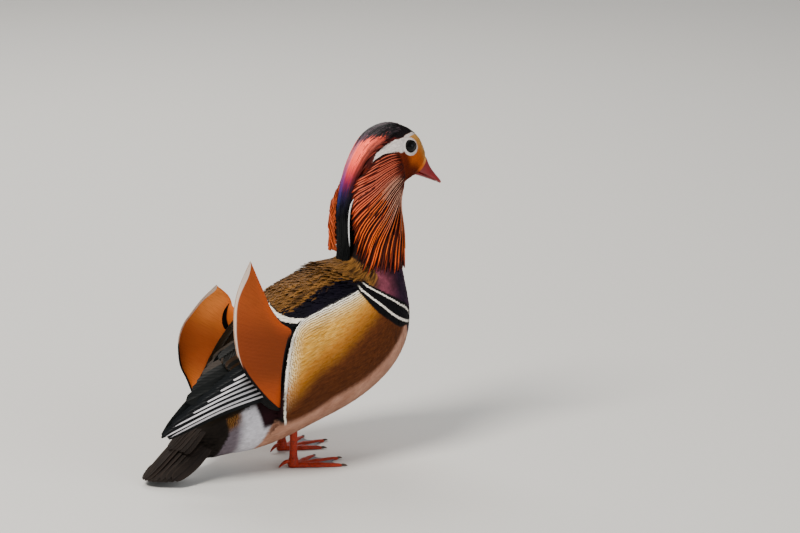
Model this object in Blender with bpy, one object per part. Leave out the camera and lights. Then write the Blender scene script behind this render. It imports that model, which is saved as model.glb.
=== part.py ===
"""A drake mandarin duck standing alert on both feet, life size, with its sail feathers raised.

Metres, +Z up. The bird faces +X with its left side at +Y. Sizes below are in millimetres, in the bird's
own frame, whose X and Y are zero between the feet and whose Z is zero at the floor. The empty duck_frame
moves all of it so that the middle of its bounding box stands over the origin.
"""

import functools
import math

import bmesh
import bpy
from mathutils import Matrix, Vector

MM = 0.001
FRAME_SHIFT = -13.16
GAP = 0.3

# Ladder of the body: each rung runs from the back line (x, z) to the belly line (x, z), with its
# half width.
RUNGS = [
    ((-92, 58), (-90, 34), 8),
    ((-82, 77), (-78, 21), 19),
    ((-62, 102), (-54, 17), 34),
    ((-32, 134), (-22, 20), 51),
    ((2, 152), (20, 32), 59),
    ((31, 162), (62, 45), 60),
    ((54, 167), (96, 63), 56),
    ((69, 172), (119, 86), 48),
    ((77, 181), (129, 113), 39),
    ((81, 195), (127, 146), 30),
    ((84, 213), (121.5, 179), 24.5),
    ((84, 231), (120, 206), 21.5),
    ((83, 248), (123, 222), 20),
    ((87, 266), (127, 230), 19.5),
    ((99, 281), (130, 234), 18.5),
    ((116, 289), (132, 236), 17.5),
    ((133, 285), (134, 237.5), 16),
    ((146, 274), (136, 238.5), 13.5),
    ((153.5, 255.5), (138, 239.5), 10),
]
PEAR = 0.16
TORSO_PEAR_END = 9
RINGS_PER_RUNG = 2
RING_SIDES = 25

NECK_AXIS_X = 104
HEAD_TURN = -10
TURN_START_Z = 165
TURN_END_Z = 212

COLOURS = {
    "torso": ((0.55, 0.36, 0.14), 0.7),
    "neck": ((0.22, 0.07, 0.14), 0.6),
    "head": ((0.62, 0.20, 0.06), 0.6),
    "bill": ((0.52, 0.05, 0.05), 0.35),
    "eye": ((0.02, 0.015, 0.01), 0.08),
    "wing": ((0.04, 0.07, 0.08), 0.5),
    "sail": ((0.74, 0.28, 0.07), 0.55),
    "tail": ((0.11, 0.09, 0.07), 0.6),
    "leg": ((0.70, 0.26, 0.08), 0.5),
}


def lerp(a, b, t):
    return a + (b - a) * t


def smooth(t):
    t = min(max(t, 0), 1)
    return t * t * (3 - 2 * t)


def curve_at(points, t):
    """A smooth curve through the points, read at t from 0 at the first to 1 at the last."""
    spans = len(points) - 1
    place = min(max(t, 0), 1) * spans
    i = min(int(place), spans - 1)
    u = place - i
    a = points[max(i - 1, 0)]
    b = points[i]
    c = points[i + 1]
    d = points[min(i + 2, spans)]
    return [
        0.5 * (2 * q + (r - p) * u + (2 * p - 5 * q + 4 * r - s) * u**2 + (3 * q - p - 3 * r + s) * u**3)
        for p, q, r, s in zip(a, b, c, d)
    ]


def turned(p):
    """The bird looks a little to its right: points of the neck and head turn about the neck's axis."""
    angle = math.radians(HEAD_TURN) * smooth((p.z - TURN_START_Z) / (TURN_END_Z - TURN_START_Z))
    x = p.x - NECK_AXIS_X
    return Vector((
        NECK_AXIS_X + x * math.cos(angle) - p.y * math.sin(angle),
        x * math.sin(angle) + p.y * math.cos(angle),
        p.z,
    ))


def turned_way(way):
    a = math.radians(HEAD_TURN)
    x = way.x * math.cos(a) - way.y * math.sin(a)
    y = way.x * math.sin(a) + way.y * math.cos(a)
    return Vector((x, y, way.z))


def rung_at(t):
    flat = [(*back, *belly, width) for back, belly, width in RUNGS]
    bx, bz, vx, vz, width = curve_at(flat, t)
    return Vector((bx, 0, bz)), Vector((vx, 0, vz)), width


def body_point(t, angle):
    """A point of the plain body: t runs from tail to bill, angle from 0 on the back to 180 on the belly."""
    back, belly, width = rung_at(t)
    a = math.radians(angle)
    trunk = 1 - smooth(t * (len(RUNGS) - 1) / TORSO_PEAR_END)
    side = width * math.sin(a) * (1 - PEAR * (0.4 + 0.6 * trunk) * math.cos(a))
    p = (back + belly) / 2 + (back - belly) / 2 * math.cos(a)
    return Vector((p.x, side, p.z))


def body_normal(t, angle):
    step = 0.004
    along = body_point(min(t + step, 1), angle) - body_point(max(t - step, 0), angle)
    around = body_point(t, angle + 1) - body_point(t, angle - 1)
    return along.cross(around).normalized()


def mesh_object(name, vertices, faces):
    mesh = bpy.data.meshes.new(name)
    mesh.from_pydata([Vector(v) * MM for v in vertices], [], faces)
    mesh.validate()
    obj = bpy.data.objects.new(name, mesh)
    bpy.context.scene.collection.objects.link(obj)
    return obj


def loft(name, rings):
    """A closed solid through rings of equal count, with a fan over each end. One point is a pointed end."""
    vertices = []
    faces = []
    starts = []
    for ring in rings:
        starts.append(len(vertices))
        vertices.extend(ring)
    for (a, first), (b, second) in zip(zip(starts, rings), zip(starts[1:], rings[1:])):
        count = max(len(first), len(second))
        for j in range(count):
            k = (j + 1) % count
            if len(second) == 1:
                faces.append((a + j, a + k, b))
            elif len(first) == 1:
                faces.append((a, b + k, b + j))
            else:
                faces.append((a + j, a + k, b + k))
                faces.append((a + j, b + k, b + j))
    if len(rings[0]) > 1:
        faces.append(tuple(reversed(range(len(rings[0])))))
    if len(rings[-1]) > 1:
        faces.append(tuple(range(starts[-1], starts[-1] + len(rings[-1]))))
    return outward(mesh_object(name, vertices, faces))


def outward(obj):
    bm = bmesh.new()
    bm.from_mesh(obj.data)
    bmesh.ops.recalc_face_normals(bm, faces=bm.faces)
    if bm.calc_volume(signed=True) < 0:
        bmesh.ops.reverse_faces(bm, faces=bm.faces)
    bmesh.ops.triangulate(bm, faces=[f for f in bm.faces if len(f.verts) > 4])
    bm.to_mesh(obj.data)
    bm.free()
    return obj


def whole_body(name, clearance=0.0):
    """The plain body from tail root to bill base, swollen by the clearance."""
    count = (len(RUNGS) - 1) * RINGS_PER_RUNG
    rings = []
    for i in range(count + 1):
        t = i / count
        ring = []
        for j in range(RING_SIDES):
            angle = 360 * j / RING_SIDES
            p = body_point(t, angle)
            if clearance:
                p += body_normal(t, angle) * clearance
            ring.append(turned(p))
        rings.append(ring)
    if clearance:
        back, belly, _ = rung_at(1)
        slope = (back - belly).normalized()
        ahead = turned_way(Vector((slope.z, 0, -slope.x)))
        rings.append([p + ahead * clearance for p in rings[-1]])
    return loft(name, rings)


def cut_off(obj, point, normal):
    """Removes what lies on the normal's side of the plane, and closes the cut with a flat face."""
    bm = bmesh.new()
    bm.from_mesh(obj.data)
    geometry = bm.verts[:] + bm.edges[:] + bm.faces[:]
    cut = bmesh.ops.bisect_plane(
        bm, geom=geometry, plane_co=Vector(point) * MM, plane_no=Vector(normal), clear_outer=True, dist=1e-7
    )
    edges = [e for e in cut["geom_cut"] if isinstance(e, bmesh.types.BMEdge)]
    filled = bmesh.ops.contextual_create(bm, geom=edges)
    bmesh.ops.triangulate(bm, faces=filled["faces"])
    bmesh.ops.recalc_face_normals(bm, faces=bm.faces)
    bm.to_mesh(obj.data)
    bm.free()
    return obj


def baked(obj):
    """Replaces the object's mesh by what its modifiers make of it."""
    graph = bpy.context.evaluated_depsgraph_get()
    graph.update()
    mesh = bpy.data.meshes.new_from_object(obj.evaluated_get(graph))
    obj.modifiers.clear()
    old = obj.data
    obj.data = mesh
    bpy.data.meshes.remove(old)
    return obj


def keep_largest(obj):
    """Keeps the largest closed surface and drops sealed hollows and loose scraps."""
    bm = bmesh.new()
    bm.from_mesh(obj.data)
    bmesh.ops.remove_doubles(bm, verts=bm.verts, dist=1e-6)
    left = set(bm.faces)
    islands = []
    while left:
        stack = [left.pop()]
        island = set(stack)
        while stack:
            face = stack.pop()
            for edge in face.edges:
                for other in edge.link_faces:
                    if other in left:
                        left.remove(other)
                        island.add(other)
                        stack.append(other)
        islands.append(island)
    islands.sort(key=lambda faces: sum(f.calc_area() for f in faces))
    for island in islands[:-1]:
        bmesh.ops.delete(bm, geom=list(island), context="FACES")
    bmesh.ops.triangulate(bm, faces=bm.faces)
    bm.to_mesh(obj.data)
    bm.free()
    return obj


def boolean(obj, others, operation):
    """Joins or cuts the object by all the others at once, then removes them."""
    group = bpy.data.collections.new(obj.name + "_tools")
    bpy.context.scene.collection.children.link(group)
    for other in others:
        bpy.context.scene.collection.objects.unlink(other)
        group.objects.link(other)
    modifier = obj.modifiers.new(operation.lower(), "BOOLEAN")
    modifier.operation = operation
    modifier.operand_type = "COLLECTION"
    modifier.collection = group
    modifier.solver = "EXACT"
    baked(obj)
    for other in others:
        bpy.data.objects.remove(other)
    bpy.data.collections.remove(group)
    return keep_largest(obj)


def fused(obj, pieces):
    return boolean(obj, pieces, "UNION")


def carved(obj, cutters):
    return boolean(obj, cutters, "DIFFERENCE")


VANE_SECTION = [(-1, -0.5), (-1, 0.5), (0, 1.1), (1, 0.5), (1, -0.5), (0, -0.5)]
LOCK_SECTION = [(-1, 0), (0, 1), (1, 0), (0, -1)]


def strip(name, path, ups, widths, thickness, section, camber=0.0):
    """A tapered closed strip along the path: a feather's vane with its shaft as a ridge, or a lock.

    ups gives the outer side at each point, widths the half widths. A last width of 0 is a point.
    Both faces are split along the same diagonals.
    """
    rings = []
    last = len(path) - 1
    for i, (p, up, width) in enumerate(zip(path, ups, widths)):
        along = (path[min(i + 1, last)] - path[max(i - 1, 0)]).normalized()
        side = along.cross(up).normalized()
        normal = side.cross(along).normalized()
        depth = thickness[i] if isinstance(thickness, list) else thickness
        if width <= 0:
            rings.append([p])
            continue
        rings.append([
            p + side * (s * width) + normal * (u * depth - camber * width * s * s) for s, u in section
        ])
    vertices = []
    faces = []
    starts = []
    for ring in rings:
        starts.append(len(vertices))
        vertices.extend(ring)
    count = len(section)
    for i in range(len(rings) - 1):
        a = starts[i]
        b = starts[i + 1]
        for j in range(count):
            k = (j + 1) % count
            if len(rings[i + 1]) == 1:
                faces.append((a + j, a + k, b))
            elif section[k][0] > section[j][0]:
                faces.append((a + j, a + k, b + k))
                faces.append((a + j, b + k, b + j))
            else:
                faces.append((a + j, a + k, b + j))
                faces.append((a + k, b + k, b + j))
    caps = [(starts[0], len(rings[0]), True), (starts[-1], len(rings[-1]), False)]
    for start, size, flip in caps:
        if size == 1:
            continue
        fan = [(start, start + j, start + j + 1) for j in range(1, size - 1)]
        if count == 6:
            low = start + 5
            fan = [(start + j, start + j + 1, low) for j in range(4)]
        faces.extend(tuple(reversed(f)) if flip else f for f in fan)
    return outward(mesh_object(name, vertices, faces))


def on_path(points, count):
    return [Vector(curve_at(points, i / count)) for i in range(count + 1)]


def vane_widths(count, width, root=0.45, fullest=0.6, tip=0.0):
    """Half widths of a feather: narrow at its root, full past the middle and round to the tip."""
    widths = []
    for i in range(count + 1):
        u = i / count
        if u < fullest:
            widths.append(width * lerp(root, 1, math.sin(u / fullest * math.pi / 2)))
        else:
            v = (u - fullest) / (1 - fullest)
            widths.append(width * lerp(tip, 1, math.sqrt(max(1 - v * v, 0))))
    return widths


def mirrored(points, side):
    return [Vector((p[0], p[1] * side, p[2])) for p in points]


# Where the body is parted: the neck leaves the breast and the head leaves the neck along these flat cuts.
NECK_CUT = ((100, 0, 146), (0.45, 0, 0.89))
HEAD_CUT = ((104, 0, 222), (0.42, 0, 0.91))

EYE_AT = (132.4, 270)
EYE_RADIUS = 5.8
EYE_SUNK = 2.6
EYE_FORWARD = 12
LID_RADIUS = 5.05
LID_THICKNESS = 0.95

CULMEN = [
    (154, 255.2), (156.4, 249), (159.6, 243.6), (162.8, 239.4), (165.6, 236), (167.6, 233.4),
    (168.4, 231.6),
]
TOMIUM = [
    (142.6, 244.3), (146.4, 242.4), (150.8, 240.4), (155.2, 238.2), (159.4, 236), (163.2, 233.6),
    (166.2, 231.2),
]
UPPER_BILL_WIDTHS = [8.2, 7.4, 6.7, 6.3, 5.9, 4.8, 2.2]
LOWER_BILL_TOP = [
    (141.8, 243.75), (146, 241.95), (150.5, 239.95), (155, 237.75), (159.2, 235.5), (162.8, 233.1),
]
LOWER_BILL_DROP = [3.2, 3.4, 3.2, 2.8, 2.2, 1.2]
LOWER_BILL_WIDTHS = [7.0, 6.6, 6.0, 5.6, 5.0, 3.0]
BILL_SIDES = 10
NOSTRIL_AT = (152.6, 246.6)
NOSTRIL_SIZE = (1.7, 1.3, 0.8)

CREST_GUIDE = [
    (133, 287), (118, 291.5), (103, 289), (90, 281), (79, 265), (71, 243), (67.5, 220), (66.5, 196),
    (68.5, 179), (72, 170.5),
]
CREST_WIDTH = 11
CREST_TIERS = [
    (5, 0.0, 0.05, 0.66, 3.0, 1.5),
    (6, 2.2, 0.24, 0.86, 2.7, 1.5),
    (5, 4.6, 0.40, 1.0, 3.2, 1.7),
    (2, 8.5, 0.45, 0.97, 5.5, 2.6),
]
CREST_POINTS = 5

RUFF_ROOTS = [(134, 238), (132.5, 246), (130, 252), (125, 257), (120, 260), (113, 261), (106, 259)]
RUFF_TIPS = [
    (14, 22.5, 172), (32, 25, 167), (50, 29.5, 164), (70, 33, 163), (92, 34.5, 164), (112, 35.5, 168),
    (128, 36.5, 176), (139, 37.5, 188), (147, 37, 204),
]
RUFF_TIERS = [(12, 0.0, 1.0, 3.9), (5, 2.3, 0.62, 4.6)]
RUFF_BULGE = [(20, 23.5), (60, 28), (100, 30.5), (150, 33)]
RUFF_POINTS = 4
RUFF_HALF_THICKNESS = 0.6

FLANK_VANES = 6
FLANK_TOP = (-20, 133)
FLANK_BOTTOM = (-33, 50)
FLANK_BOW = -4
FLANK_LENGTH = 34
FLANK_HALF_WIDTH = 8.7
FLANK_LIFT = 8

RUMP_ROWS = [
    (0.190, 0.112, (-30, 0, 30), 9.5),
    (0.140, 0.058, (-34, 0, 34), 9.0),
    (0.086, 0.010, (-36, 0, 36), 7.5),
]
RUMP_LIFT = 1.4

SCAPULAR_VANES = 4
SCAPULAR_LENGTH = 42
SCAPULAR_HALF_WIDTH = 7

RIGHT_RACHIS = [
    (-38.6, -55, 63), (-60.4, -56.5, 79), (-73, -55.5, 97.7), (-80, -54, 115.3), (-83, -52, 130.3),
    (-83.5, -50, 145.2), (-81, -47.5, 159.5), (-73, -44, 176.3), (-55.3, -39, 195.5),
]
RIGHT_FRONT = [
    (-35, -51, 64), (-33, -52.5, 78), (-31.5, -53, 92), (-28.5, -53, 106), (-25, -53, 120),
    (-26, -51.5, 134), (-34, -48.5, 148), (-45, -44, 168), (-55, -39, 194.5),
]
LEFT_RACHIS = [
    (-38, 55, 52), (-52, 55, 60), (-64, 53.5, 79), (-73, 51, 100), (-71, 47.5, 119), (-63, 43.5, 135),
    (-54.5, 38, 147), (-44, 33, 158),
]
LEFT_FRONT = [
    (-35, 51, 53), (-31, 52, 66), (-29, 52.5, 82), (-26.5, 51.5, 100), (-25, 49, 116), (-28, 45, 130),
    (-35, 40, 144), (-43.5, 33, 157.5),
]
SAIL_BULGE = 3
SAIL_THICKNESS = 0.8
SAIL_ROWS = 10
SAIL_COLUMNS = 3

PRIMARIES = 6
PRIMARY_ROOTS = [(-38, -48.5, 74), (-46, -41, 108)]
PRIMARY_TIPS = [
    (-138.5, -19, 45), (-136.5, -20.5, 50.5), (-129.5, -22.5, 58), (-121, -25, 66.7), (-111, -27.5, 75.5),
    (-101.5, -30.5, 84),
]
PRIMARY_HALF_WIDTH = 6.6
WING_LAYER = 1.5
TERTIALS = 3
COVERTS = 2

RECTRICES = 7
TAIL_ROOT = (-74, 55)
TAIL_TIP = (-142, 0.5)
TAIL_SPREAD = 17
TAIL_DROP = 5.5
RECTRIX_HALF_WIDTH = 8
TAIL_COVERTS = 4
TAIL_CORE = [
    (-0.08, 15, 12, 8), (0.15, 14.5, 9.5, 7), (0.38, 12.5, 6.5, 5), (0.6, 9, 3.2, 2.5), (0.78, 4, 1, 0.5),
]

LEG_X = {"right": 0, "left": 21}
LEG_Y = 25
TOES = [(-27, 36), (2, 46), (31, 43)]
TOE_HALF_WIDTH = 3.8
TOE_PROFILE = [
    (0, 0.9, 4.6), (0.3, 0.8, 4.0), (0.5, 0.95, 4.4), (0.75, 0.7, 3.2), (0.94, 0.6, 2.8), (1.0, 0.35, 1.8),
]
WEB_THICKNESS = 1.1
CLAW_LENGTH = 6

SIDES = {"right": -1, "left": 1}


@functools.cache
def body_grid():
    """Places on the left side of the plain body, each with its x and z."""
    places = []
    for i in range(91):
        for j in range(2, 59):
            p = body_point(i / 90, 3 * j)
            places.append((i / 90, 3 * j, p.x, p.z))
    return places


@functools.cache
def surface_at(x, z, side):
    """The place (t, angle) on the plain body that lies at this x and z on the given side."""
    t, angle, px, pz = min(body_grid(), key=lambda place: (place[2] - x) ** 2 + (place[3] - z) ** 2)
    best = (px - x) ** 2 + (pz - z) ** 2
    step = 1 / 90
    for _ in range(24):
        for dt, da in ((step, 0), (-step, 0), (0, step * 180), (0, -step * 180)):
            p = body_point(min(max(t + dt, 0), 1), angle + da)
            gap = (p.x - x) ** 2 + (p.z - z) ** 2
            if gap < best:
                best = gap
                t = min(max(t + dt, 0), 1)
                angle += da
        step *= 0.75
    return t, side * angle


def ball(name, centre, radii, turn=None, segments=16, rings=10):
    """A closed ellipsoid. turn is a rotation applied to it about its centre."""
    rows = []
    for i in range(rings + 1):
        polar = math.pi * i / rings
        row = []
        for j in range(segments if 0 < i < rings else 1):
            around = 2 * math.pi * j / segments
            p = Vector((
                radii[0] * math.sin(polar) * math.cos(around),
                radii[1] * math.sin(polar) * math.sin(around),
                radii[2] * math.cos(polar),
            ))
            row.append((turn @ p if turn else p) + Vector(centre))
        rows.append(row)
    return loft(name, rows)


def torso():
    obj = whole_body("torso")
    return cut_off(obj, Vector(NECK_CUT[0]) - Vector(NECK_CUT[1]) * GAP / 2, NECK_CUT[1])


def neck():
    obj = whole_body("neck")
    cut_off(obj, Vector(NECK_CUT[0]) + Vector(NECK_CUT[1]) * GAP / 2, -Vector(NECK_CUT[1]))
    return cut_off(obj, Vector(HEAD_CUT[0]) - Vector(HEAD_CUT[1]) * GAP / 2, HEAD_CUT[1])


def skull():
    obj = whole_body("head")
    return cut_off(obj, Vector(HEAD_CUT[0]) + Vector(HEAD_CUT[1]) * GAP / 2, -Vector(HEAD_CUT[1]))


def swollen_below_head(name):
    """The torso and neck with the clearance that every other node keeps to them."""
    obj = whole_body(name, GAP)
    return cut_off(obj, Vector(HEAD_CUT[0]) + Vector(HEAD_CUT[1]) * GAP / 2, HEAD_CUT[1])


def eye_place(side):
    """Centre and outward direction of an eyeball, before the head turns."""
    t, angle = surface_at(*EYE_AT, side)
    surface = body_point(t, angle)
    forward = math.radians(EYE_FORWARD)
    outward_way = Vector((math.sin(forward), side * math.cos(forward), 0.06)).normalized()
    return surface - outward_way * EYE_SUNK, outward_way


def eye(name, side, extra=0.0):
    centre, _ = eye_place(side)
    radius = EYE_RADIUS + extra
    return ball(name, turned(centre), (radius, radius, radius), segments=14, rings=9)


def lids(side):
    """A raised ring of two lids round the eyeball."""
    centre, way = eye_place(side)
    turn = way.to_track_quat("Z", "Y").to_matrix()
    level = math.sqrt(EYE_RADIUS**2 - LID_RADIUS**2)
    rings = []
    around = 12
    for i in range(around):
        a = 2 * math.pi * i / around
        ring = []
        for j in range(4):
            b = 2 * math.pi * j / 4
            r = LID_RADIUS + LID_THICKNESS * math.cos(b)
            p = Vector((r * math.cos(a), r * math.sin(a) * 1.04, level + LID_THICKNESS * math.sin(b)))
            ring.append(turned(centre + turn @ p))
        rings.append(ring)
    vertices = [p for ring in rings for p in ring]
    faces = []
    for i in range(around):
        n = (i + 1) % around
        for j in range(4):
            k = (j + 1) % 4
            faces.append((i * 4 + j, i * 4 + k, n * 4 + k, n * 4 + j))
    return outward(mesh_object("lids", vertices, faces))


def crest():
    """Long locks from the crown that hang down the nape in tiers."""
    pieces = []
    for tier, (count, depth, start, end, width, thickness) in enumerate(CREST_TIERS):
        for i in range(count):
            u = 2 * i / (count - 1) - 1
            finish = end - 0.05 * abs(u) - 0.02 * (i % 2)
            path = []
            ups = []
            for j in range(CREST_POINTS + 1):
                s = lerp(start, finish, j / CREST_POINTS)
                here = Vector((curve_at(CREST_GUIDE, s)[0], 0, curve_at(CREST_GUIDE, s)[1]))
                ahead = Vector((curve_at(CREST_GUIDE, s + 0.02)[0], 0, curve_at(CREST_GUIDE, s + 0.02)[1]))
                behind = Vector((curve_at(CREST_GUIDE, s - 0.02)[0], 0, curve_at(CREST_GUIDE, s - 0.02)[1]))
                along = (ahead - behind).normalized()
                normal = Vector((along.z, 0, -along.x))
                if normal.x > 0 and s > 0.5 or normal.z < 0 and s < 0.5:
                    normal = -normal
                spread = CREST_WIDTH * (0.62 + 0.38 * math.sin(math.pi * min(s * 1.15, 1)))
                sink = depth + 5.5 * u * u + (3.5 if j == 0 else 0) + 0.5 * (i % 2)
                path.append(turned(here + Vector((0, u * spread, 0)) - normal * sink))
                ups.append((normal + Vector((0, 0.9 * u, 0))).normalized())
            widths = [width * w for w in (0.75, 1, 1, 0.95, 0.7, 0)]
            depths = [thickness * 0.5 * w for w in (1, 1, 1, 0.9, 0.7, 0.3)]
            pieces.append(strip(f"crest_{tier}_{i}", path, ups, widths, depths, LOCK_SECTION))
    return pieces


def round_neck(azimuth, radius, z, side):
    a = math.radians(azimuth)
    return Vector((NECK_AXIS_X + radius * math.cos(a), side * radius * math.sin(a), z))


def bulge_at(azimuth):
    """How far from the neck's axis the hackles stand at their middle."""
    for (a, low), (b, high) in zip(RUFF_BULGE, RUFF_BULGE[1:]):
        if azimuth <= b:
            return lerp(low, high, min(max((azimuth - a) / (b - a), 0), 1))
    return RUFF_BULGE[-1][1]


def ruff(side):
    """Hackles that fan from the cheek down and back over the side of the neck, in two tiers."""
    pieces = []
    for tier, (count, inset, reach, width) in enumerate(RUFF_TIERS):
        for i in range(count):
            f = i / (count - 1)
            rx, rz = curve_at(RUFF_ROOTS, f)
            t, angle = surface_at(rx, rz, side)
            root = body_point(t, angle)
            normal = body_normal(t, angle)
            azimuth0 = math.degrees(math.atan2(abs(root.y), root.x - NECK_AXIS_X))
            azimuth1, radius1, z1 = curve_at(RUFF_TIPS, f)
            azimuth1 = lerp(azimuth0, azimuth1, reach)
            z1 = lerp(root.z, z1, reach)
            ripple = 0.85 * (1 if i % 2 else -1)
            radius0 = math.hypot(root.x - NECK_AXIS_X, root.y)
            bulge = bulge_at(azimuth1)
            rear = azimuth1 / 150
            near = lerp(radius0, bulge, lerp(0.75, 0.42, rear)) + inset * 0.5 + ripple
            wide = lerp(bulge, radius1, lerp(0.5, 0.2, rear)) + inset + ripple
            flare = lerp(bulge, radius1, lerp(0.5, 0.75, rear)) + inset + ripple
            control = [
                root - normal * 2.5,
                round_neck(lerp(azimuth0, azimuth1, 0.3), near, lerp(root.z, z1, 0.17), side),
                round_neck(lerp(azimuth0, azimuth1, 0.66), wide, lerp(root.z, z1, 0.45), side),
                round_neck(lerp(azimuth0, azimuth1, 0.9), flare, lerp(root.z, z1, 0.73), side),
                round_neck(azimuth1, radius1 + inset + ripple * 0.6, z1, side),
            ]
            path = on_path(control, RUFF_POINTS)
            ups = [Vector((p.x - NECK_AXIS_X, p.y, 0)).normalized() for p in path]
            path = [turned(p) for p in path]
            widths = [width * w for w in (0.5, 0.95, 1, 0.75, 0)]
            depths = [RUFF_HALF_THICKNESS * w for w in (1.2, 1, 1, 1, 0.3)]
            pieces.append(strip(f"hackle_{tier}_{i}", path, ups, widths, depths, LOCK_SECTION))
    return pieces


def head():
    obj = skull()
    pieces = crest() + ruff(-1) + ruff(1) + [lids(-1), lids(1)]
    fused(obj, pieces)
    sockets = [eye("socket_right", -1, GAP), eye("socket_left", 1, GAP)]
    return carved(obj, sockets + [swollen_below_head("clear")])


def bill_ring(top, bottom, width, arch):
    """A cross-section of the bill between two points of its profile, arched on one side only."""
    top = Vector((top[0], 0, top[1]))
    bottom = Vector((bottom[0], 0, bottom[1]))
    ring = []
    for j in range(BILL_SIDES + 1):
        a = math.pi * (j / BILL_SIDES - 0.5)
        rise = max(math.cos(a), 0) ** arch
        p = bottom + (top - bottom) * rise
        ring.append(turned(p + Vector((0, width * math.sin(a), 0))))
    return ring


def bill_upper():
    rings = [bill_ring(c, t, w, 0.8) for c, t, w in zip(CULMEN, TOMIUM, UPPER_BILL_WIDTHS)]
    back = (Vector((CULMEN[0][0], 0, CULMEN[0][1])) - Vector((TOMIUM[0][0], 0, TOMIUM[0][1]))).normalized()
    normal = Vector((back.z, 0, -back.x))
    sunk = [p - turned_way(normal) * 5 for p in rings[0]]
    obj = loft("bill_upper", [sunk] + rings)
    pits = []
    for side in (-1, 1):
        x, z = NOSTRIL_AT
        centre = turned(Vector((x, side * 4.6, z)))
        tilt = Matrix.Rotation(math.radians(38), 3, "Y")
        pits.append(ball("nostril", centre, NOSTRIL_SIZE, tilt, 8, 6))
    return carved(obj, pits + [whole_body("clear", GAP)])


def bill_lower():
    rings = []
    for (x, z), drop, width in zip(LOWER_BILL_TOP, LOWER_BILL_DROP, LOWER_BILL_WIDTHS):
        rings.append(bill_ring((x - drop * 0.4, z - drop), (x, z), width, 0.7))
    back = turned_way(Vector((0.75, 0, -0.45)).normalized())
    sunk = [p - back * 4 for p in rings[0]]
    return carved(loft("bill_lower", [sunk] + rings), [whole_body("clear", GAP)])


def flank_vanes(side, extra=0.0):
    """The long feathers at the rear edge of the flank, which cover the front of the folded wing."""
    pieces = []
    for i in range(FLANK_VANES):
        f = i / (FLANK_VANES - 1)
        x = lerp(FLANK_TOP[0], FLANK_BOTTOM[0], f) + FLANK_BOW * math.sin(math.pi * f)
        z = lerp(FLANK_TOP[1], FLANK_BOTTOM[1], f)
        way = Vector((-0.9, 0, -0.42 - 0.2 * f)).normalized()
        path = []
        ups = []
        count = 3
        for j in range(count + 1):
            back = FLANK_LENGTH * (1 - j / count)
            t, angle = surface_at(x - way.x * back, z - way.z * back, side)
            normal = body_normal(t, angle)
            lift = lerp(-2.0, FLANK_LIFT + 0.7 * (i % 2), smooth(j / count * 1.1))
            path.append(body_point(t, angle) + normal * lift)
            ups.append(normal)
        widths = [w + extra for w in vane_widths(count, FLANK_HALF_WIDTH, 0.6, 0.6, 0.72)]
        path[-1] = path[-1] + (path[-1] - path[-2]).normalized() * extra
        pieces.append(strip(f"flank_{i}", path, ups, widths, 0.7 + 2 * extra, VANE_SECTION, 0.12))
    return pieces


def scapular_vanes(side, extra=0.0):
    """Pointed feathers of the shoulder that lie over the base of the sail."""
    pieces = []
    for i in range(SCAPULAR_VANES):
        f = i / (SCAPULAR_VANES - 1)
        x = lerp(-18, -30, f)
        z = lerp(126, 146, f)
        way = Vector((-0.95, 0, -0.25)).normalized()
        path = []
        ups = []
        count = 3
        for j in range(count + 1):
            back = SCAPULAR_LENGTH * (1 - j / count)
            t, angle = surface_at(x - way.x * back, min(z - way.z * back, 165), side)
            normal = body_normal(t, angle)
            lift = lerp(-1.8, 2.2 + 1.2 * (i % 2), smooth(j / count * 1.3))
            path.append(body_point(t, angle) + normal * lift)
            ups.append(normal)
        widths = [w + extra for w in vane_widths(count, SCAPULAR_HALF_WIDTH, 0.6, 0.55, 0.4)]
        path[-1] = path[-1] + (path[-1] - path[-2]).normalized() * extra
        pieces.append(strip(f"scapular_{i}", path, ups, widths, 0.6 + 2 * extra, VANE_SECTION, 0.15))
    return pieces


def rump_vanes(extra=0.0):
    """Broad soft feathers in three rows from between the wings down to the root of the tail."""
    pieces = []
    count = 3
    for row, (start, end, angles, width) in enumerate(RUMP_ROWS):
        for i, angle in enumerate(angles):
            path = []
            ups = []
            for j in range(count + 1):
                t = lerp(start, end, j / count)
                normal = body_normal(t, angle)
                lift = lerp(-1.6, RUMP_LIFT + 0.8 * (i % 2), smooth(j / count * 1.2))
                path.append(body_point(t, angle) + normal * lift)
                ups.append(normal)
            widths = [w + extra for w in vane_widths(count, width, 0.7, 0.55, 0.4)]
            path[-1] = path[-1] + (path[-1] - path[-2]).normalized() * extra
            name = f"rump_{row}_{i}"
            pieces.append(strip(name, path, ups, widths, 0.6 + 2 * extra, VANE_SECTION, 0.12))
    return pieces


def feathered_torso():
    obj = torso()
    pieces = rump_vanes()
    for side in SIDES.values():
        pieces += flank_vanes(side) + scapular_vanes(side)
    return fused(obj, pieces)


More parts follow.
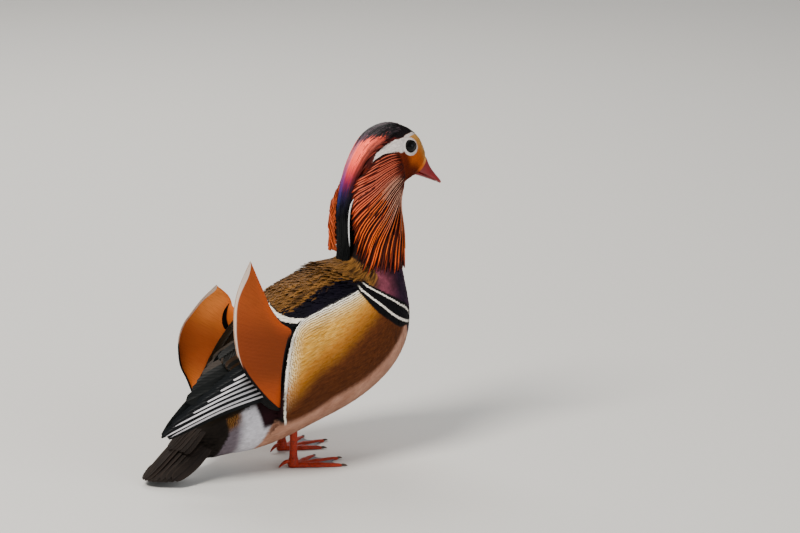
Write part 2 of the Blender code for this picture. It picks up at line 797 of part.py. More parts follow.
def sheet_between(name, back_edge, front_edge, side, thickness):
    """A thin curved vane between its shaft and its free edge, with the shaft as a rib along it."""
    rows = []
    for i in range(SAIL_ROWS + 1):
        t = i / SAIL_ROWS
        a = Vector(curve_at(back_edge, t))
        b = Vector(curve_at(front_edge, t))
        row = []
        for j in range(SAIL_COLUMNS + 1):
            u = j / SAIL_COLUMNS
            bulge = SAIL_BULGE * math.sin(math.pi * u**0.7) * math.sin(math.pi * min(t * 1.1, 1))
            row.append(a.lerp(b, u) + Vector((0, side * bulge, 0)))
        rows.append(row)
    width = SAIL_COLUMNS + 1
    normals = []
    for i in range(SAIL_ROWS + 1):
        for j in range(width):
            down = rows[max(i - 1, 0)][j]
            up = rows[min(i + 1, SAIL_ROWS)][j]
            left = rows[i][max(j - 1, 0)]
            right = rows[i][min(j + 1, SAIL_COLUMNS)]
            normal = (up - down).cross(right - left)
            if normal.length < 1e-6:
                normal = Vector((0, side, 0))
            normal.normalize()
            normals.append(normal if normal.y * side > 0 else -normal)
    points = [p for row in rows for p in row]
    half = thickness / 2
    vertices = [p + n * half for p, n in zip(points, normals)]
    vertices += [p - n * half for p, n in zip(points, normals)]
    under = len(points)
    faces = []
    for i in range(SAIL_ROWS):
        for j in range(SAIL_COLUMNS):
            a = i * width + j
            b = a + 1
            c = a + width
            d = c + 1
            faces += [(a, b, d), (a, d, c)]
            faces += [(under + b, under + a, under + d), (under + d, under + a, under + c)]
    rim = list(range(width))
    rim += [i * width + SAIL_COLUMNS for i in range(1, SAIL_ROWS + 1)]
    rim += [SAIL_ROWS * width + j for j in range(SAIL_COLUMNS - 1, -1, -1)]
    rim += [i * width for i in range(SAIL_ROWS - 1, 0, -1)]
    for a, b in zip(rim, rim[1:] + rim[:1]):
        faces += [(a, b, under + b), (a, under + b, under + a)]
    return outward(mesh_object(name, vertices, faces))


SAIL_EDGES = {-1: (RIGHT_RACHIS, RIGHT_FRONT), 1: (LEFT_RACHIS, LEFT_FRONT)}


def sail_pieces(side, extra=0.0):
    """The vane, its shaft and the quill that runs in to the body, each thicker by the extra."""
    back_edge, front_edge = SAIL_EDGES[side]
    vane = sheet_between("vane", back_edge, front_edge, side, SAIL_THICKNESS + 2 * extra)
    count = 7
    path = on_path(back_edge, count)
    path[-1] = path[-1].lerp(path[-2], 0.1)
    foot = path[0]
    path[0] = foot + (foot - path[1]).normalized() * 4 * extra
    ups = [Vector((0, side, 0))] * (count + 1)
    widths = [lerp(1.5, 0.7, i / count) + 1.5 * extra for i in range(count + 1)]
    shaft = strip("shaft", path, ups, widths, list(widths), LOCK_SECTION)
    quill_path = [
        foot + Vector((1 - 4 * extra, side * 4 * extra, 2)),
        foot + Vector((5, -side * 6, 2)),
        foot + Vector((8, -side * 16, 1)),
    ]
    widths = [w + 1.5 * extra for w in (2.2, 2.0, 1.8)]
    quill = strip("quill", quill_path, [Vector((0, 0, 1))] * 3, widths, list(widths), LOCK_SECTION)
    if not extra:
        return [vane, shaft, quill]
    widths = [SAIL_THICKNESS / 2 + 3 * extra] * (count + 1)
    rim = strip("rim", on_path(front_edge, count), ups, widths, list(widths), LOCK_SECTION)
    return [vane, shaft, quill, rim]


def sail(name, side):
    """One sail feather: a broad upright vane with its shaft along the rear edge."""
    vane, shaft, quill = sail_pieces(side)
    vane.name = name
    fused(vane, [shaft, quill])
    covers = flank_vanes(side, GAP) + scapular_vanes(side, GAP)
    return carved(vane, [swollen_below_head("clear")] + covers)


def lowered(p):
    """The left wing hangs lower than the right one, with its tips drawn in over the tail."""
    behind = min(max((-p.x - 45) / 60, 0), 1)
    return Vector((-38 + (p.x + 38) * 0.72, -p.y - 6 * behind, 26 + (p.z - 42) * 0.56))


def placed(points, side):
    """Points of the right wing as they are, or where they go on the left wing."""
    return [Vector(p) if side < 0 else lowered(p) for p in points]


def wing(name, side):
    """The folded wing behind the flank: primaries, tertials above them and coverts over their roots."""
    pieces = []
    root_low, root_high = [Vector(p) for p in PRIMARY_ROOTS]
    count = 3
    for i in range(PRIMARIES):
        f = i / (PRIMARIES - 1)
        root = root_low.lerp(root_high, f)
        tip = Vector(PRIMARY_TIPS[i])
        out = Vector((0, -WING_LAYER * i, 0))
        middle = root.lerp(tip, 0.5) + Vector((0, -3.5, 1.5 * (1 - f)))
        path = on_path([root, middle, tip], count)
        path = [p + out * (1 - 0.35 * j / count) for j, p in enumerate(path)]
        up = Vector((0, -1, 0.35 + 0.35 * f)).normalized()
        widths = vane_widths(count, PRIMARY_HALF_WIDTH, 0.8, 0.5, 0.18)
        ups = mirrored([up] * (count + 1), -side)
        pieces.append(strip(f"primary_{i}", placed(path, side), ups, widths, 0.6, VANE_SECTION))
    for i in range(TERTIALS):
        f = i / (TERTIALS - 1)
        root = Vector((-42, lerp(-46, -32, f), lerp(92, 119, f)))
        tip = Vector((lerp(-113, -93, f), lerp(-34, -17, f), lerp(80.5, 98, f)))
        out = Vector((0, -WING_LAYER * 3.5, 0)) * (1 - f) + Vector((0, -1.2, 2.2)) * (i % 2)
        middle = root.lerp(tip, 0.5) + Vector((0, -3, 3))
        path = [p + out for p in on_path([root, middle, tip], count)]
        up = Vector((0, -1, lerp(0.5, 1.4, f))).normalized()
        widths = vane_widths(count, 8.5, 0.7, 0.55, 0.3)
        ups = mirrored([up] * (count + 1), -side)
        pieces.append(strip(f"tertial_{i}", placed(path, side), ups, widths, 0.6, VANE_SECTION))
    for i in range(COVERTS):
        f = i / (COVERTS - 1)
        root = Vector((lerp(-40, -44, f), lerp(-48, -40, f), lerp(80, 116, f)))
        tip = root + Vector((-31, lerp(3, 3.5, f), lerp(-9, -15, f)))
        out = Vector((0, -WING_LAYER * lerp(2.2, 4.2, f), 0))
        path = [p + out for p in on_path([root, root.lerp(tip, 0.5) + Vector((0, -1.2, 1)), tip], 3)]
        up = Vector((0, -1, lerp(0.3, 0.9, f))).normalized()
        widths = vane_widths(3, 7.5, 0.7, 0.55, 0.35)
        ups = mirrored([up] * 4, -side)
        pieces.append(strip(f"covert_{i}", placed(path, side), ups, widths, 0.6, VANE_SECTION))
    turn = Matrix.Rotation(math.radians(-24), 3, "Y") @ Matrix.Rotation(math.radians(side * 22), 3, "X")
    if side < 0:
        hand = ball(name, (-43, -39, 91), (13, 10.5, 35), turn, 10, 8)
    else:
        hand = ball(name, (-42, 40.5, 54), (12, 10, 21), turn, 10, 8)
    fused(hand, pieces)
    over = sail_pieces(side, 2 * GAP) + flank_vanes(side, GAP) + scapular_vanes(side, GAP) + rump_vanes(GAP)
    return carved(hand, [swollen_below_head("clear")] + over)


def tail():
    """Rectrices fanned in a shallow roof, with coverts over their roots and a tapered core under them."""
    pieces = []
    root = Vector((TAIL_ROOT[0], 0, TAIL_ROOT[1]))
    tip = Vector((TAIL_TIP[0], 0, TAIL_TIP[1]))
    count = 3
    for i in range(RECTRICES):
        u = 2 * i / (RECTRICES - 1) - 1
        order = abs(u)
        end = tip.lerp(root, 0.14 * order**1.6)
        end += Vector((0, u * TAIL_SPREAD, -TAIL_DROP * order**1.5 + 2.4))
        start = root + Vector((0, u * 11, -9 * order))
        sag = Vector((0, 0, 2.0 - 5 * order))
        lift = Vector((0.5, 0, 1.0)).normalized() * (2.8 * (1 - order))
        path = [p + lift for p in on_path([start, start.lerp(end, 0.5) + sag, end], count)]
        up = Vector((0.45, 0.55 * u, 0.9)).normalized()
        widths = vane_widths(count, RECTRIX_HALF_WIDTH * lerp(1, 0.85, order), 0.55, 0.6, 0.25)
        pieces.append(strip(f"rectrix_{i}", path, [up] * (count + 1), widths, 0.55, VANE_SECTION))
    along = (tip - root).normalized()
    over = Vector((along.z, 0, -along.x))
    for i in range(TAIL_COVERTS):
        u = 2 * i / (TAIL_COVERTS - 1) - 1
        start = root + Vector((0, u * 10, 0)) + over * (3.5 - 4 * u * u)
        end = root.lerp(tip, 0.5 - 0.08 * abs(u)) + Vector((0, u * 13, 0)) + over * (7 - 6.5 * u * u)
        path = on_path([start, start.lerp(end, 0.5) + over * 2.2, end], 3)
        up = (over + Vector((0, 0.7 * u, 0))).normalized()
        widths = vane_widths(3, 7, 0.8, 0.5, 0.3)
        pieces.append(strip(f"covert_{i}", path, [up] * 4, widths, 0.6, VANE_SECTION))
    rings = []
    for share, wide, deep, drop in TAIL_CORE:
        centre = root.lerp(tip, share) - over * drop
        ring = []
        for j in range(12):
            a = 2 * math.pi * j / 12
            ring.append(centre + Vector((0, wide * math.cos(a), 0)) + over * (deep * math.sin(a)))
        rings.append(ring)
    core = fused(loft("tail", rings), pieces)
    return carved(core, [swollen_below_head("clear")] + rump_vanes(GAP))


def leg(name, side):
    """The scaled lower leg, wider where it enters the belly feathers."""
    x = LEG_X["right" if side < 0 else "left"]
    levels = [
        (8.6, 3.5, 2.8, 0), (13, 3.0, 2.4, 0), (24, 2.9, 2.3, 0.3), (34, 3.3, 2.7, 0.2), (39, 4.2, 3.4, 0),
        (44, 4.6, 4.0, 0), (50, 7.5, 6.5, 1), (60, 11, 9, 3),
    ]
    rings = []
    for z, fore, wide, ahead in levels:
        ring = []
        for j in range(12):
            a = 2 * math.pi * j / 12
            ring.append(Vector((x + ahead + fore * math.cos(a), side * LEG_Y + wide * math.sin(a), z)))
        rings.append(ring)
    return carved(loft(name, rings), [swollen_below_head("clear")])


def toe(name, ankle, way, length):
    """A toe with a flat sole on the floor, a knuckle at its middle and a claw."""
    side = Vector((-way.y, way.x, 0))
    rings = []
    for share, width, height in TOE_PROFILE:
        centre = ankle + way * (length * share)
        half = TOE_HALF_WIDTH * width
        ring = []
        for s, h in ((-1, 0), (-0.9, 0.6), (0, 1), (0.9, 0.6), (1, 0)):
            ring.append(centre + side * (half * s) + Vector((0, 0, height * h)))
        rings.append(ring)
    tip = ankle + way * length
    claw_section = ((-0.6, 0.3), (-0.6, 1.1), (0, 1.7), (0.6, 1.1), (0.6, 0.3))
    claw = [tip + way * (CLAW_LENGTH * 0.55) + side * s + Vector((0, 0, h)) for s, h in claw_section]
    rings.append(claw)
    rings.append([tip + way * CLAW_LENGTH + Vector((0, 0, 0.35))])
    return loft(name, rings)


def foot(name, side):
    """Three webbed toes flat on the floor and a small raised hind toe."""
    ankle = Vector((LEG_X["right" if side < 0 else "left"], side * LEG_Y, 0))
    ways = []
    pieces = []
    for i, (angle, length) in enumerate(TOES):
        a = math.radians(angle * side)
        way = Vector((math.cos(a), math.sin(a), 0))
        ways.append((way, length))
        pieces.append(toe(f"toe_{i}", ankle, way, length))
    for i in range(2):
        (way_a, length_a), (way_b, length_b) = ways[i], ways[i + 1]
        rim = []
        for k in range(5):
            s = k / 4
            way = way_a.lerp(way_b, s).normalized()
            reach = lerp(length_a, length_b, s) * (0.9 - 0.24 * math.sin(math.pi * s))
            rim.append(ankle + way * reach)
        low = [ankle] + rim
        rings = [[p + Vector((0, 0, rise)) for p in low] for rise in (0.35, 0.35 + WEB_THICKNESS)]
        pieces.append(loft(f"web_{i}", rings))
    hind = [Vector((-1, 0, 5.2)), Vector((-8, -side * 1.5, 5.5)), Vector((-14, -side * 2.5, 1.2))]
    path = [ankle + p for p in on_path(hind, 3)]
    sizes = [1.9, 1.7, 1.3, 0.5]
    pieces.append(strip("hind_toe", path, [Vector((0, 0, 1))] * 4, sizes, sizes, LOCK_SECTION))
    rings = []
    for z, radius in ((0, 4.2), (2.5, 4.7), (5.5, 4.2), (8.2, 3.6)):
        ring = []
        for j in range(12):
            a = 2 * math.pi * j / 12
            ring.append(ankle + Vector((radius * math.cos(a), radius * 0.8 * math.sin(a), z)))
        rings.append(ring)
    return fused(loft(name, rings), pieces)


def dress(obj, look):
    """Gives the node its colour and smooth shading."""
    colour, roughness = COLOURS[look]
    material = bpy.data.materials.new(obj.name)
    material.use_nodes = True
    shader = material.node_tree.nodes["Principled BSDF"]
    shader.inputs["Base Color"].default_value = (*colour, 1)
    shader.inputs["Roughness"].default_value = roughness
    obj.data.materials.clear()
    obj.data.materials.append(material)
    obj.data.shade_smooth()
    obj.data.set_sharp_from_angle(angle=math.radians(38))
    return obj


def main():
    for obj in list(bpy.data.objects):
        bpy.data.objects.remove(obj)
    nodes = [
        dress(feathered_torso(), "torso"),
        dress(neck(), "neck"),
        dress(head(), "head"),
        dress(bill_upper(), "bill"),
        dress(bill_lower(), "bill"),
        dress(tail(), "tail"),
    ]
    for word, side in SIDES.items():
        nodes.append(dress(eye("eye_" + word, side), "eye"))
        nodes.append(dress(wing("wing_" + word, side), "wing"))
        nodes.append(dress(sail("sail_" + word, side), "sail"))
        nodes.append(dress(leg("leg_" + word, side), "leg"))
        nodes.append(dress(foot("foot_" + word, side), "leg"))
    frame = bpy.data.objects.new("duck_frame", None)
    bpy.context.scene.collection.objects.link(frame)
    frame.location.x = FRAME_SHIFT * MM
    for node in nodes:
        node.parent = frame


if __name__ == "__main__":
    main()
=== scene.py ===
"""A drake mandarin duck: skin, plumage, bill, eyes, legs and stage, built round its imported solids.

Sizes are in millimetres in the bird's own frame, whose origin is on the floor, level with the right ankle and
midway between the feet, and become metres in the row frame as each mesh is made. A place on the body is
told as (t, a): t counts the rungs of the body's ladder from 0 at the tail to 18 at the bill, and a is the
angle in degrees from the back, 0, to the belly, 180.
"""

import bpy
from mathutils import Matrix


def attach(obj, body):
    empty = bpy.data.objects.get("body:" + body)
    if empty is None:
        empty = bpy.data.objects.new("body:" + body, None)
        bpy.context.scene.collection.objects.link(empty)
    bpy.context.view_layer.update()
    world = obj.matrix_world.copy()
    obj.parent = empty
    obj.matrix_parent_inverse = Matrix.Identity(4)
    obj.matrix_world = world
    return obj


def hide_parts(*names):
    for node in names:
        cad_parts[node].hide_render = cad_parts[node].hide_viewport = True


bl_info = {
    "name": "Mandarin duck",
    "version": (1, 0, 0),
    "blender": (4, 5, 0),
    "location": "3D View > Sidebar > Duck",
    "description": "Builds the plumage, bill, eyes, legs and stage of a standing mandarin drake",
    "category": "Mesh",
}

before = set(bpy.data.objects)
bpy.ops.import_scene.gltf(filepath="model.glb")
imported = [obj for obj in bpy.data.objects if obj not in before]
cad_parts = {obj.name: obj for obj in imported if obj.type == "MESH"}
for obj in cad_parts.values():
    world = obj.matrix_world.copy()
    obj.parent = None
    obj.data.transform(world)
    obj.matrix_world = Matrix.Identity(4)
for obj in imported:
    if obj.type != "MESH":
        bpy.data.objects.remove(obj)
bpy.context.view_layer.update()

import math

import bmesh
import bpy
import numpy as np
from mathutils import Vector
from bpy.props import FloatProperty, FloatVectorProperty, IntProperty, PointerProperty

MM = 0.001
FRAME_SHIFT = -13.16

RUNGS = [
    ((-92, 58), (-90, 34), 8),
    ((-82, 77), (-78, 21), 19),
    ((-62, 102), (-54, 17), 34),
    ((-32, 134), (-22, 20), 51),
    ((2, 152), (20, 32), 59),
    ((31, 162), (62, 45), 60),
    ((54, 167), (96, 63), 56),
    ((69, 172), (119, 86), 48),
    ((77, 181), (129, 113), 39),
    ((81, 195), (127, 146), 30),
    ((84, 213), (121.5, 179), 24.5),
    ((84, 231), (120, 206), 21.5),
    ((83, 248), (123, 222), 20),
    ((87, 266), (127, 230), 19.5),
    ((99, 281), (130, 234), 18.5),
    ((116, 289), (132, 236), 17.5),
    ((133, 285), (134, 237.5), 16),
    ((146, 274), (136, 238.5), 13.5),
    ((153.5, 255.5), (138, 239.5), 10),
]
LADDER = np.array([(*back, *belly, width) for back, belly, width in RUNGS], float)
LAST = len(RUNGS) - 1
HALF_TURN = 180
PEAR = 0.16
PEAR_END = 9
NECK_AXIS_X = 104
HEAD_TURN = -10
TURN_START_Z = 165
TURN_END_Z = 212


def lerp(a, b, t):
    return a + (b - a) * t


def smooth(t):
    t = np.clip(t, 0, 1)
    return t * t * (3 - 2 * t)


def curve(points, t):
    """Points on a smooth curve through the given ones, t from 0 to 1, for any array of t."""
    points = np.asarray(points, float)
    spans = len(points) - 1
    place = np.clip(np.asarray(t, float), 0, 1) * spans
    i = np.minimum(place.astype(int), spans - 1)
    u = (place - i)[..., None]
    a = points[np.maximum(i - 1, 0)]
    b = points[i]
    c = points[i + 1]
    d = points[np.minimum(i + 2, spans)]
    return 0.5 * (2 * b + (c - a) * u + (2 * a - 5 * b + 4 * c - d) * u**2 + (3 * b - a - 3 * c + d) * u**3)


def turned(p):
    """Turns points of the neck and head about the neck's axis, as the bird looks a little to its right."""
    angle = math.radians(HEAD_TURN) * smooth((p[..., 2] - TURN_START_Z) / (TURN_END_Z - TURN_START_Z))
    x = p[..., 0] - NECK_AXIS_X
    y = p[..., 1]
    ahead = NECK_AXIS_X + x * np.cos(angle) - y * np.sin(angle)
    return np.stack([ahead, x * np.sin(angle) + y * np.cos(angle), p[..., 2]], -1)


def plain_body(t, a):
    """Places on the plain body. a is signed here: below zero on the bird's right."""
    rung = curve(LADDER, t / LAST)
    angle = np.radians(a)
    trunk = 1 - smooth(t / PEAR_END)
    side = rung[..., 4] * np.sin(angle) * (1 - PEAR * (0.4 + 0.6 * trunk) * np.cos(angle))
    x = (rung[..., 0] + rung[..., 2]) / 2 + (rung[..., 0] - rung[..., 2]) / 2 * np.cos(angle)
    z = (rung[..., 1] + rung[..., 3]) / 2 + (rung[..., 1] - rung[..., 3]) / 2 * np.cos(angle)
    return np.stack([x, side, z], -1)


def unit(v):
    return v / np.maximum(np.linalg.norm(v, axis=-1, keepdims=True), 1e-9)


def body_normal(t, a):
    step = 0.07
    along = plain_body(np.minimum(t + step, LAST), a) - plain_body(np.maximum(t - step, 0), a)
    around = plain_body(t, a + 1) - plain_body(t, a - 1)
    return unit(np.cross(along, around))


# The flank's feathers stand out over the wing along this line, t for each angle.
FLANK_REAR = [
    (40, 4.02), (49.6, 3.6), (57, 3.38), (62.9, 3.26), (71.4, 3.13), (82.9, 3.0), (95.3, 2.91), (110.8, 2.89),
    (130, 2.96),
]
FLANK_LIFT = 8.0


def flank_rear(a):
    knots = np.array(FLANK_REAR, float)
    return np.interp(np.abs(a), knots[:, 0], knots[:, 1])


def rise(t, a):
    """How far the plumage stands out from the plain body at a place."""
    edge = flank_rear(a)
    side = smooth((np.abs(a) - 38) / 16) * (1 - smooth((np.abs(a) - 108) / 26))
    ahead = 1 - smooth((t - edge) / 1.25)
    behind = smooth((t - edge + 0.1) / 0.1)
    return FLANK_LIFT * side * ahead * behind


def surface(t, a, lift=0.0):
    p = plain_body(t, a) + body_normal(t, a) * np.asarray(rise(t, a) + lift)[..., None]
    return turned(p)


def metres(p):
    return (np.asarray(p, float) + np.array([FRAME_SHIFT, 0, 0])) * MM


def linear(colour):
    """The linear light of a listed colour."""
    return tuple(c / 12.92 if c <= 0.04045 else ((c + 0.055) / 1.055) ** 2.4 for c in colour[:3])


def linear_array(colour):
    return np.where(colour <= 0.04045, colour / 12.92, ((colour + 0.055) / 1.055) ** 2.4)


def rgba(colour):
    return (*linear(colour), 1.0)


# Pieces


def deselect():
    bpy.ops.object.select_all(action="DESELECT")


def finished(obj, slot, *nodes):
    """Fixes a piece to the bird and hides the solids that it stands for."""
    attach(obj, "root")
    if nodes:
        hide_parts(*nodes)
    return obj


def set_lay(mesh, lay, vane=None, tint=None):
    """Stores each point's place in the plumage, its place in its own feather and its colour."""
    flat = np.asarray(lay, np.float32).reshape(-1, 3)
    mesh.attributes.new("lay", "FLOAT_VECTOR", "POINT").data.foreach_set("vector", flat.ravel())
    if vane is not None:
        flat = np.asarray(vane, np.float32).reshape(-1, 3)
        mesh.attributes.new("vane", "FLOAT_VECTOR", "POINT").data.foreach_set("vector", flat.ravel())
    if tint is not None:
        flat = np.asarray(tint, np.float32).reshape(-1, 3)
        flat = np.concatenate([flat, np.ones((len(flat), 1), np.float32)], 1)
        mesh.attributes.new("tint", "FLOAT_COLOR", "POINT").data.foreach_set("color", flat.ravel())


def joined(name, points, faces, material):
    """One mesh from an array of points in millimetres and arrays of faces with equal corner counts."""
    mesh = bpy.data.meshes.new(name)
    points = metres(points).reshape(-1, 3)
    mesh.vertices.add(len(points))
    mesh.vertices.foreach_set("co", points.astype(np.float32).ravel())
    corners = np.concatenate([f.ravel() for f in faces])
    sizes = np.concatenate([np.full(len(f), f.shape[1]) for f in faces])
    mesh.loops.add(len(corners))
    mesh.loops.foreach_set("vertex_index", corners.astype(np.int32))
    mesh.polygons.add(len(sizes))
    mesh.polygons.foreach_set("loop_start", (np.cumsum(sizes) - sizes).astype(np.int32))
    mesh.update(calc_edges=True)
    mesh.polygons.foreach_set("use_smooth", np.ones(len(sizes), bool))
    mesh.set_sharp_from_angle(angle=math.radians(SHARP_DEGREES))
    mesh.materials.append(material)
    obj = bpy.data.objects.new(name, mesh)
    bpy.context.scene.collection.objects.link(obj)
    return obj


SHARP_DEGREES = 62
RIDGE = [(-1, 0), (0, 1), (1, 0)]
LOCK = [(-1, 0), (0, 1), (1, 0), (0, -1)]
VANE = [
    (-1, -0.4), (-1, 0.2), (-0.5, 0.55), (-0.06, 0.6), (0, 1.2), (0.06, 0.6), (0.5, 0.55), (1, 0.2),
    (1, -0.4),
]


def blades(name, path, up, width, thick, section, material, lay, chance, tint=None, camber=0.0, flip=1.0):
    """Many closed vanes or locks as one mesh.

    path and up hold the points and outer sides of each (n, s, 3), width its half widths (n, s) and thick its
    heights. lay holds t and a at each point (n, s, 2), chance one number from 0 to 1 for each.
    """
    n, s = path.shape[:2]
    k = len(section)
    across = np.array([p[0] for p in section])
    height = np.array([p[1] for p in section])
    along = unit(np.gradient(path, axis=1))
    side = unit(np.cross(along, up))
    over = unit(np.cross(side, along))
    thick = np.broadcast_to(thick, width.shape)
    push = across[None, None] * width[..., None]
    raise_by = height[None, None] * thick[..., None] - camber * width[..., None] * across**2
    points = path[:, :, None] + side[:, :, None] * push[..., None] + over[:, :, None] * raise_by[..., None]
    start = (np.arange(n) * s * k)[:, None, None]
    ring = (np.arange(s - 1) * k)[None, :, None]
    here = np.arange(k)[None, None]
    there = (np.arange(k) + 1) % k
    a = start + ring + here
    b = start + ring + there[None, None]
    quads = np.stack([a, b, b + k, a + k], -1).reshape(-1, 4)
    first = np.arange(n)[:, None] * s * k + np.arange(k)[::-1][None]
    last = np.arange(n)[:, None] * s * k + (s - 1) * k + np.arange(k)[None]
    sample = points[0]
    middle = sample.mean((0, 1))
    corners = sample.reshape(-1, 3) - middle
    quad = np.stack([a[0], b[0], b[0] + k, a[0] + k], -1).reshape(-1, 4)
    crossed = np.cross(corners[quad[:, 1]], corners[quad[:, 2]])
    volume = np.einsum("ij,ij->i", corners[quad[:, 0]], crossed).sum()
    faces = [quads, first, last]
    if volume < 0:
        faces = [f[:, ::-1] for f in faces]
    obj = joined(name, points, faces, material)
    down = np.broadcast_to(np.linspace(0, 1, s)[None, :, None], (n, s, k))
    spread = np.broadcast_to(across[None, None] * flip, (n, s, k))
    luck = np.broadcast_to(np.asarray(chance)[:, None, None], (n, s, k))
    place = np.zeros((n, s, k, 3))
    place[..., :2] = lay[:, :, None]
    reach = np.degrees(width / np.maximum(np.linalg.norm(path[..., 1:] - [0, 150], axis=-1), 18))
    place[..., 1] += (across[None, None] * reach[..., None]) * 0.8
    place[..., 2] = luck
    if tint is not None and tint.ndim == 2:
        tint = np.broadcast_to(tint[:, None], (n, s, 3))
    if tint is not None:
        tint = np.broadcast_to(tint[:, :, None], (n, s, k, 3))
    set_lay(obj.data, place, np.stack([down, spread, luck], -1), tint)
    root = np.stack([(lay[:, 0, 1] + 180) / 360, lay[:, 0, 0] / LAST], -1)
    patch = np.stack([spread * 0.0015, (down - 0.5) * 0.003], -1) + root[:, None, None]
    corner = np.empty(len(obj.data.loops), np.int32)
    obj.data.loops.foreach_get("vertex_index", corner)
    layer = obj.data.uv_layers.new(name="OFBake")
    layer.data.foreach_set("uv", patch.reshape(-1, 2)[corner].astype(np.float32).ravel())
    return obj


# Finishes


class Look:
    """The nodes of one finish."""

    def __init__(self, name):
        self.material = bpy.data.materials.new(name)
        self.material.use_nodes = True
        self.tree = self.material.node_tree
        self.shader = self.tree.nodes["Principled BSDF"]

    def feed(self, socket, value):
        if isinstance(value, bpy.types.NodeSocket):
            self.tree.links.new(value, socket)
        else:
            socket.default_value = value

    def node(self, kind, values=(), **settings):
        made = self.tree.nodes.new("ShaderNode" + kind)
        for key, value in settings.items():
            setattr(made, key, value)
        for socket, value in values:
            self.feed(made.inputs[socket], value)
        return made

    def math(self, operation, a, b=0.0, c=0.0):
        return self.node("Math", [(0, a), (1, b), (2, c)], operation=operation).outputs[0]

    def plus(self, a, b):
        return self.math("ADD", a, b)

    def minus(self, a, b):
        return self.math("SUBTRACT", a, b)

    def times(self, *values):
        result = values[0]
        for value in values[1:]:
            result = self.math("MULTIPLY", result, value)
        return result

    def step(self, x, low, high):
        """0 below the low end and 1 above the high one, or the other way round where low is above high."""
        made = self.node("MapRange", [("Value", x), ("From Min", low), ("From Max", high)])
        made.interpolation_type = "SMOOTHSTEP"
        return made.outputs["Result"]

    def band(self, x, low, high, soft):
        """1 between two edges, which may be sockets."""
        rising = self.step(self.minus(x, low), -soft, soft)
        falling = self.step(self.minus(high, x), -soft, soft)
        return self.times(rising, falling)

    def mix(self, mask, under, over, blend="MIX"):
        made = self.node("Mix", data_type="RGBA", blend_type=blend)
        self.feed(made.inputs[0], mask)
        self.feed(made.inputs[6], rgba(under) if isinstance(under, tuple) else under)
        self.feed(made.inputs[7], rgba(over) if isinstance(over, tuple) else over)
        return made.outputs[2]

    def attribute(self, name, output="Vector"):
        return self.node("Attribute", attribute_name=name).outputs[output]

    def split(self, vector):
        return self.node("SeparateXYZ", [(0, vector)]).outputs

    def combine(self, x, y, z=0.0):
        return self.node("CombineXYZ", [(0, x), (1, y), (2, z)]).outputs[0]

    def noise(self, vector, scale, detail=2.0, rough=0.5):
        values = [("Vector", vector), ("Scale", scale), ("Detail", detail), ("Roughness", rough)]
        return self.node("TexNoise", values).outputs["Fac"]

    def coordinates(self):
        return self.node("TexCoord").outputs["Object"]

    def knots(self, x, points, x_size, y_size):
        """A curve through the points, read at x. Both are given in real units."""
        made = self.node("FloatCurve", [("Value", self.math("DIVIDE", x, x_size))])
        line = made.mapping.curves[0]
        places = [(px / x_size, py / y_size) for px, py in points]
        while len(line.points) < len(places):
            line.points.new(0.5, 0.5)
        for point, place in zip(line.points, places):
            point.location = place
        made.mapping.update()
        return self.times(made.outputs[0], y_size)

    def rung_at(self, a, points):
        """The rung that a line of (angle, rung) points has at an angle."""
        return self.knots(a, points, HALF_TURN, LAST)

    def angle_at(self, t, points):
        """The angle that a line of (rung, angle) points has at a rung."""
        return self.knots(t, points, LAST, HALF_TURN)

    def shaded(self, colour, shade):
        grey = self.node("CombineColor", [(0, shade), (1, shade), (2, shade)]).outputs[0]
        return self.mix(1.0, colour, grey, "MULTIPLY")

    def bump(self, height, distance, strength=1.0):
        values = [("Height", height), ("Distance", distance), ("Strength", strength)]
        return self.node("Bump", values).outputs[0]

    def finish(self, colour, roughness, normal=None, specular=0.5, **fixed):
        self.shader.inputs["Specular IOR Level"].default_value = specular
        self.feed(self.shader.inputs["Base Color"], rgba(colour) if isinstance(colour, tuple) else colour)
        self.feed(self.shader.inputs["Roughness"], roughness)
        if normal is not None:
            self.feed(self.shader.inputs["Normal"], normal)
        for name, value in fixed.items():
            self.shader.inputs[name.replace("_", " ").title()].default_value = value
        return self.material


BLACK = (0.014, 0.013, 0.02)
WHITE = (0.93, 0.90, 0.84)


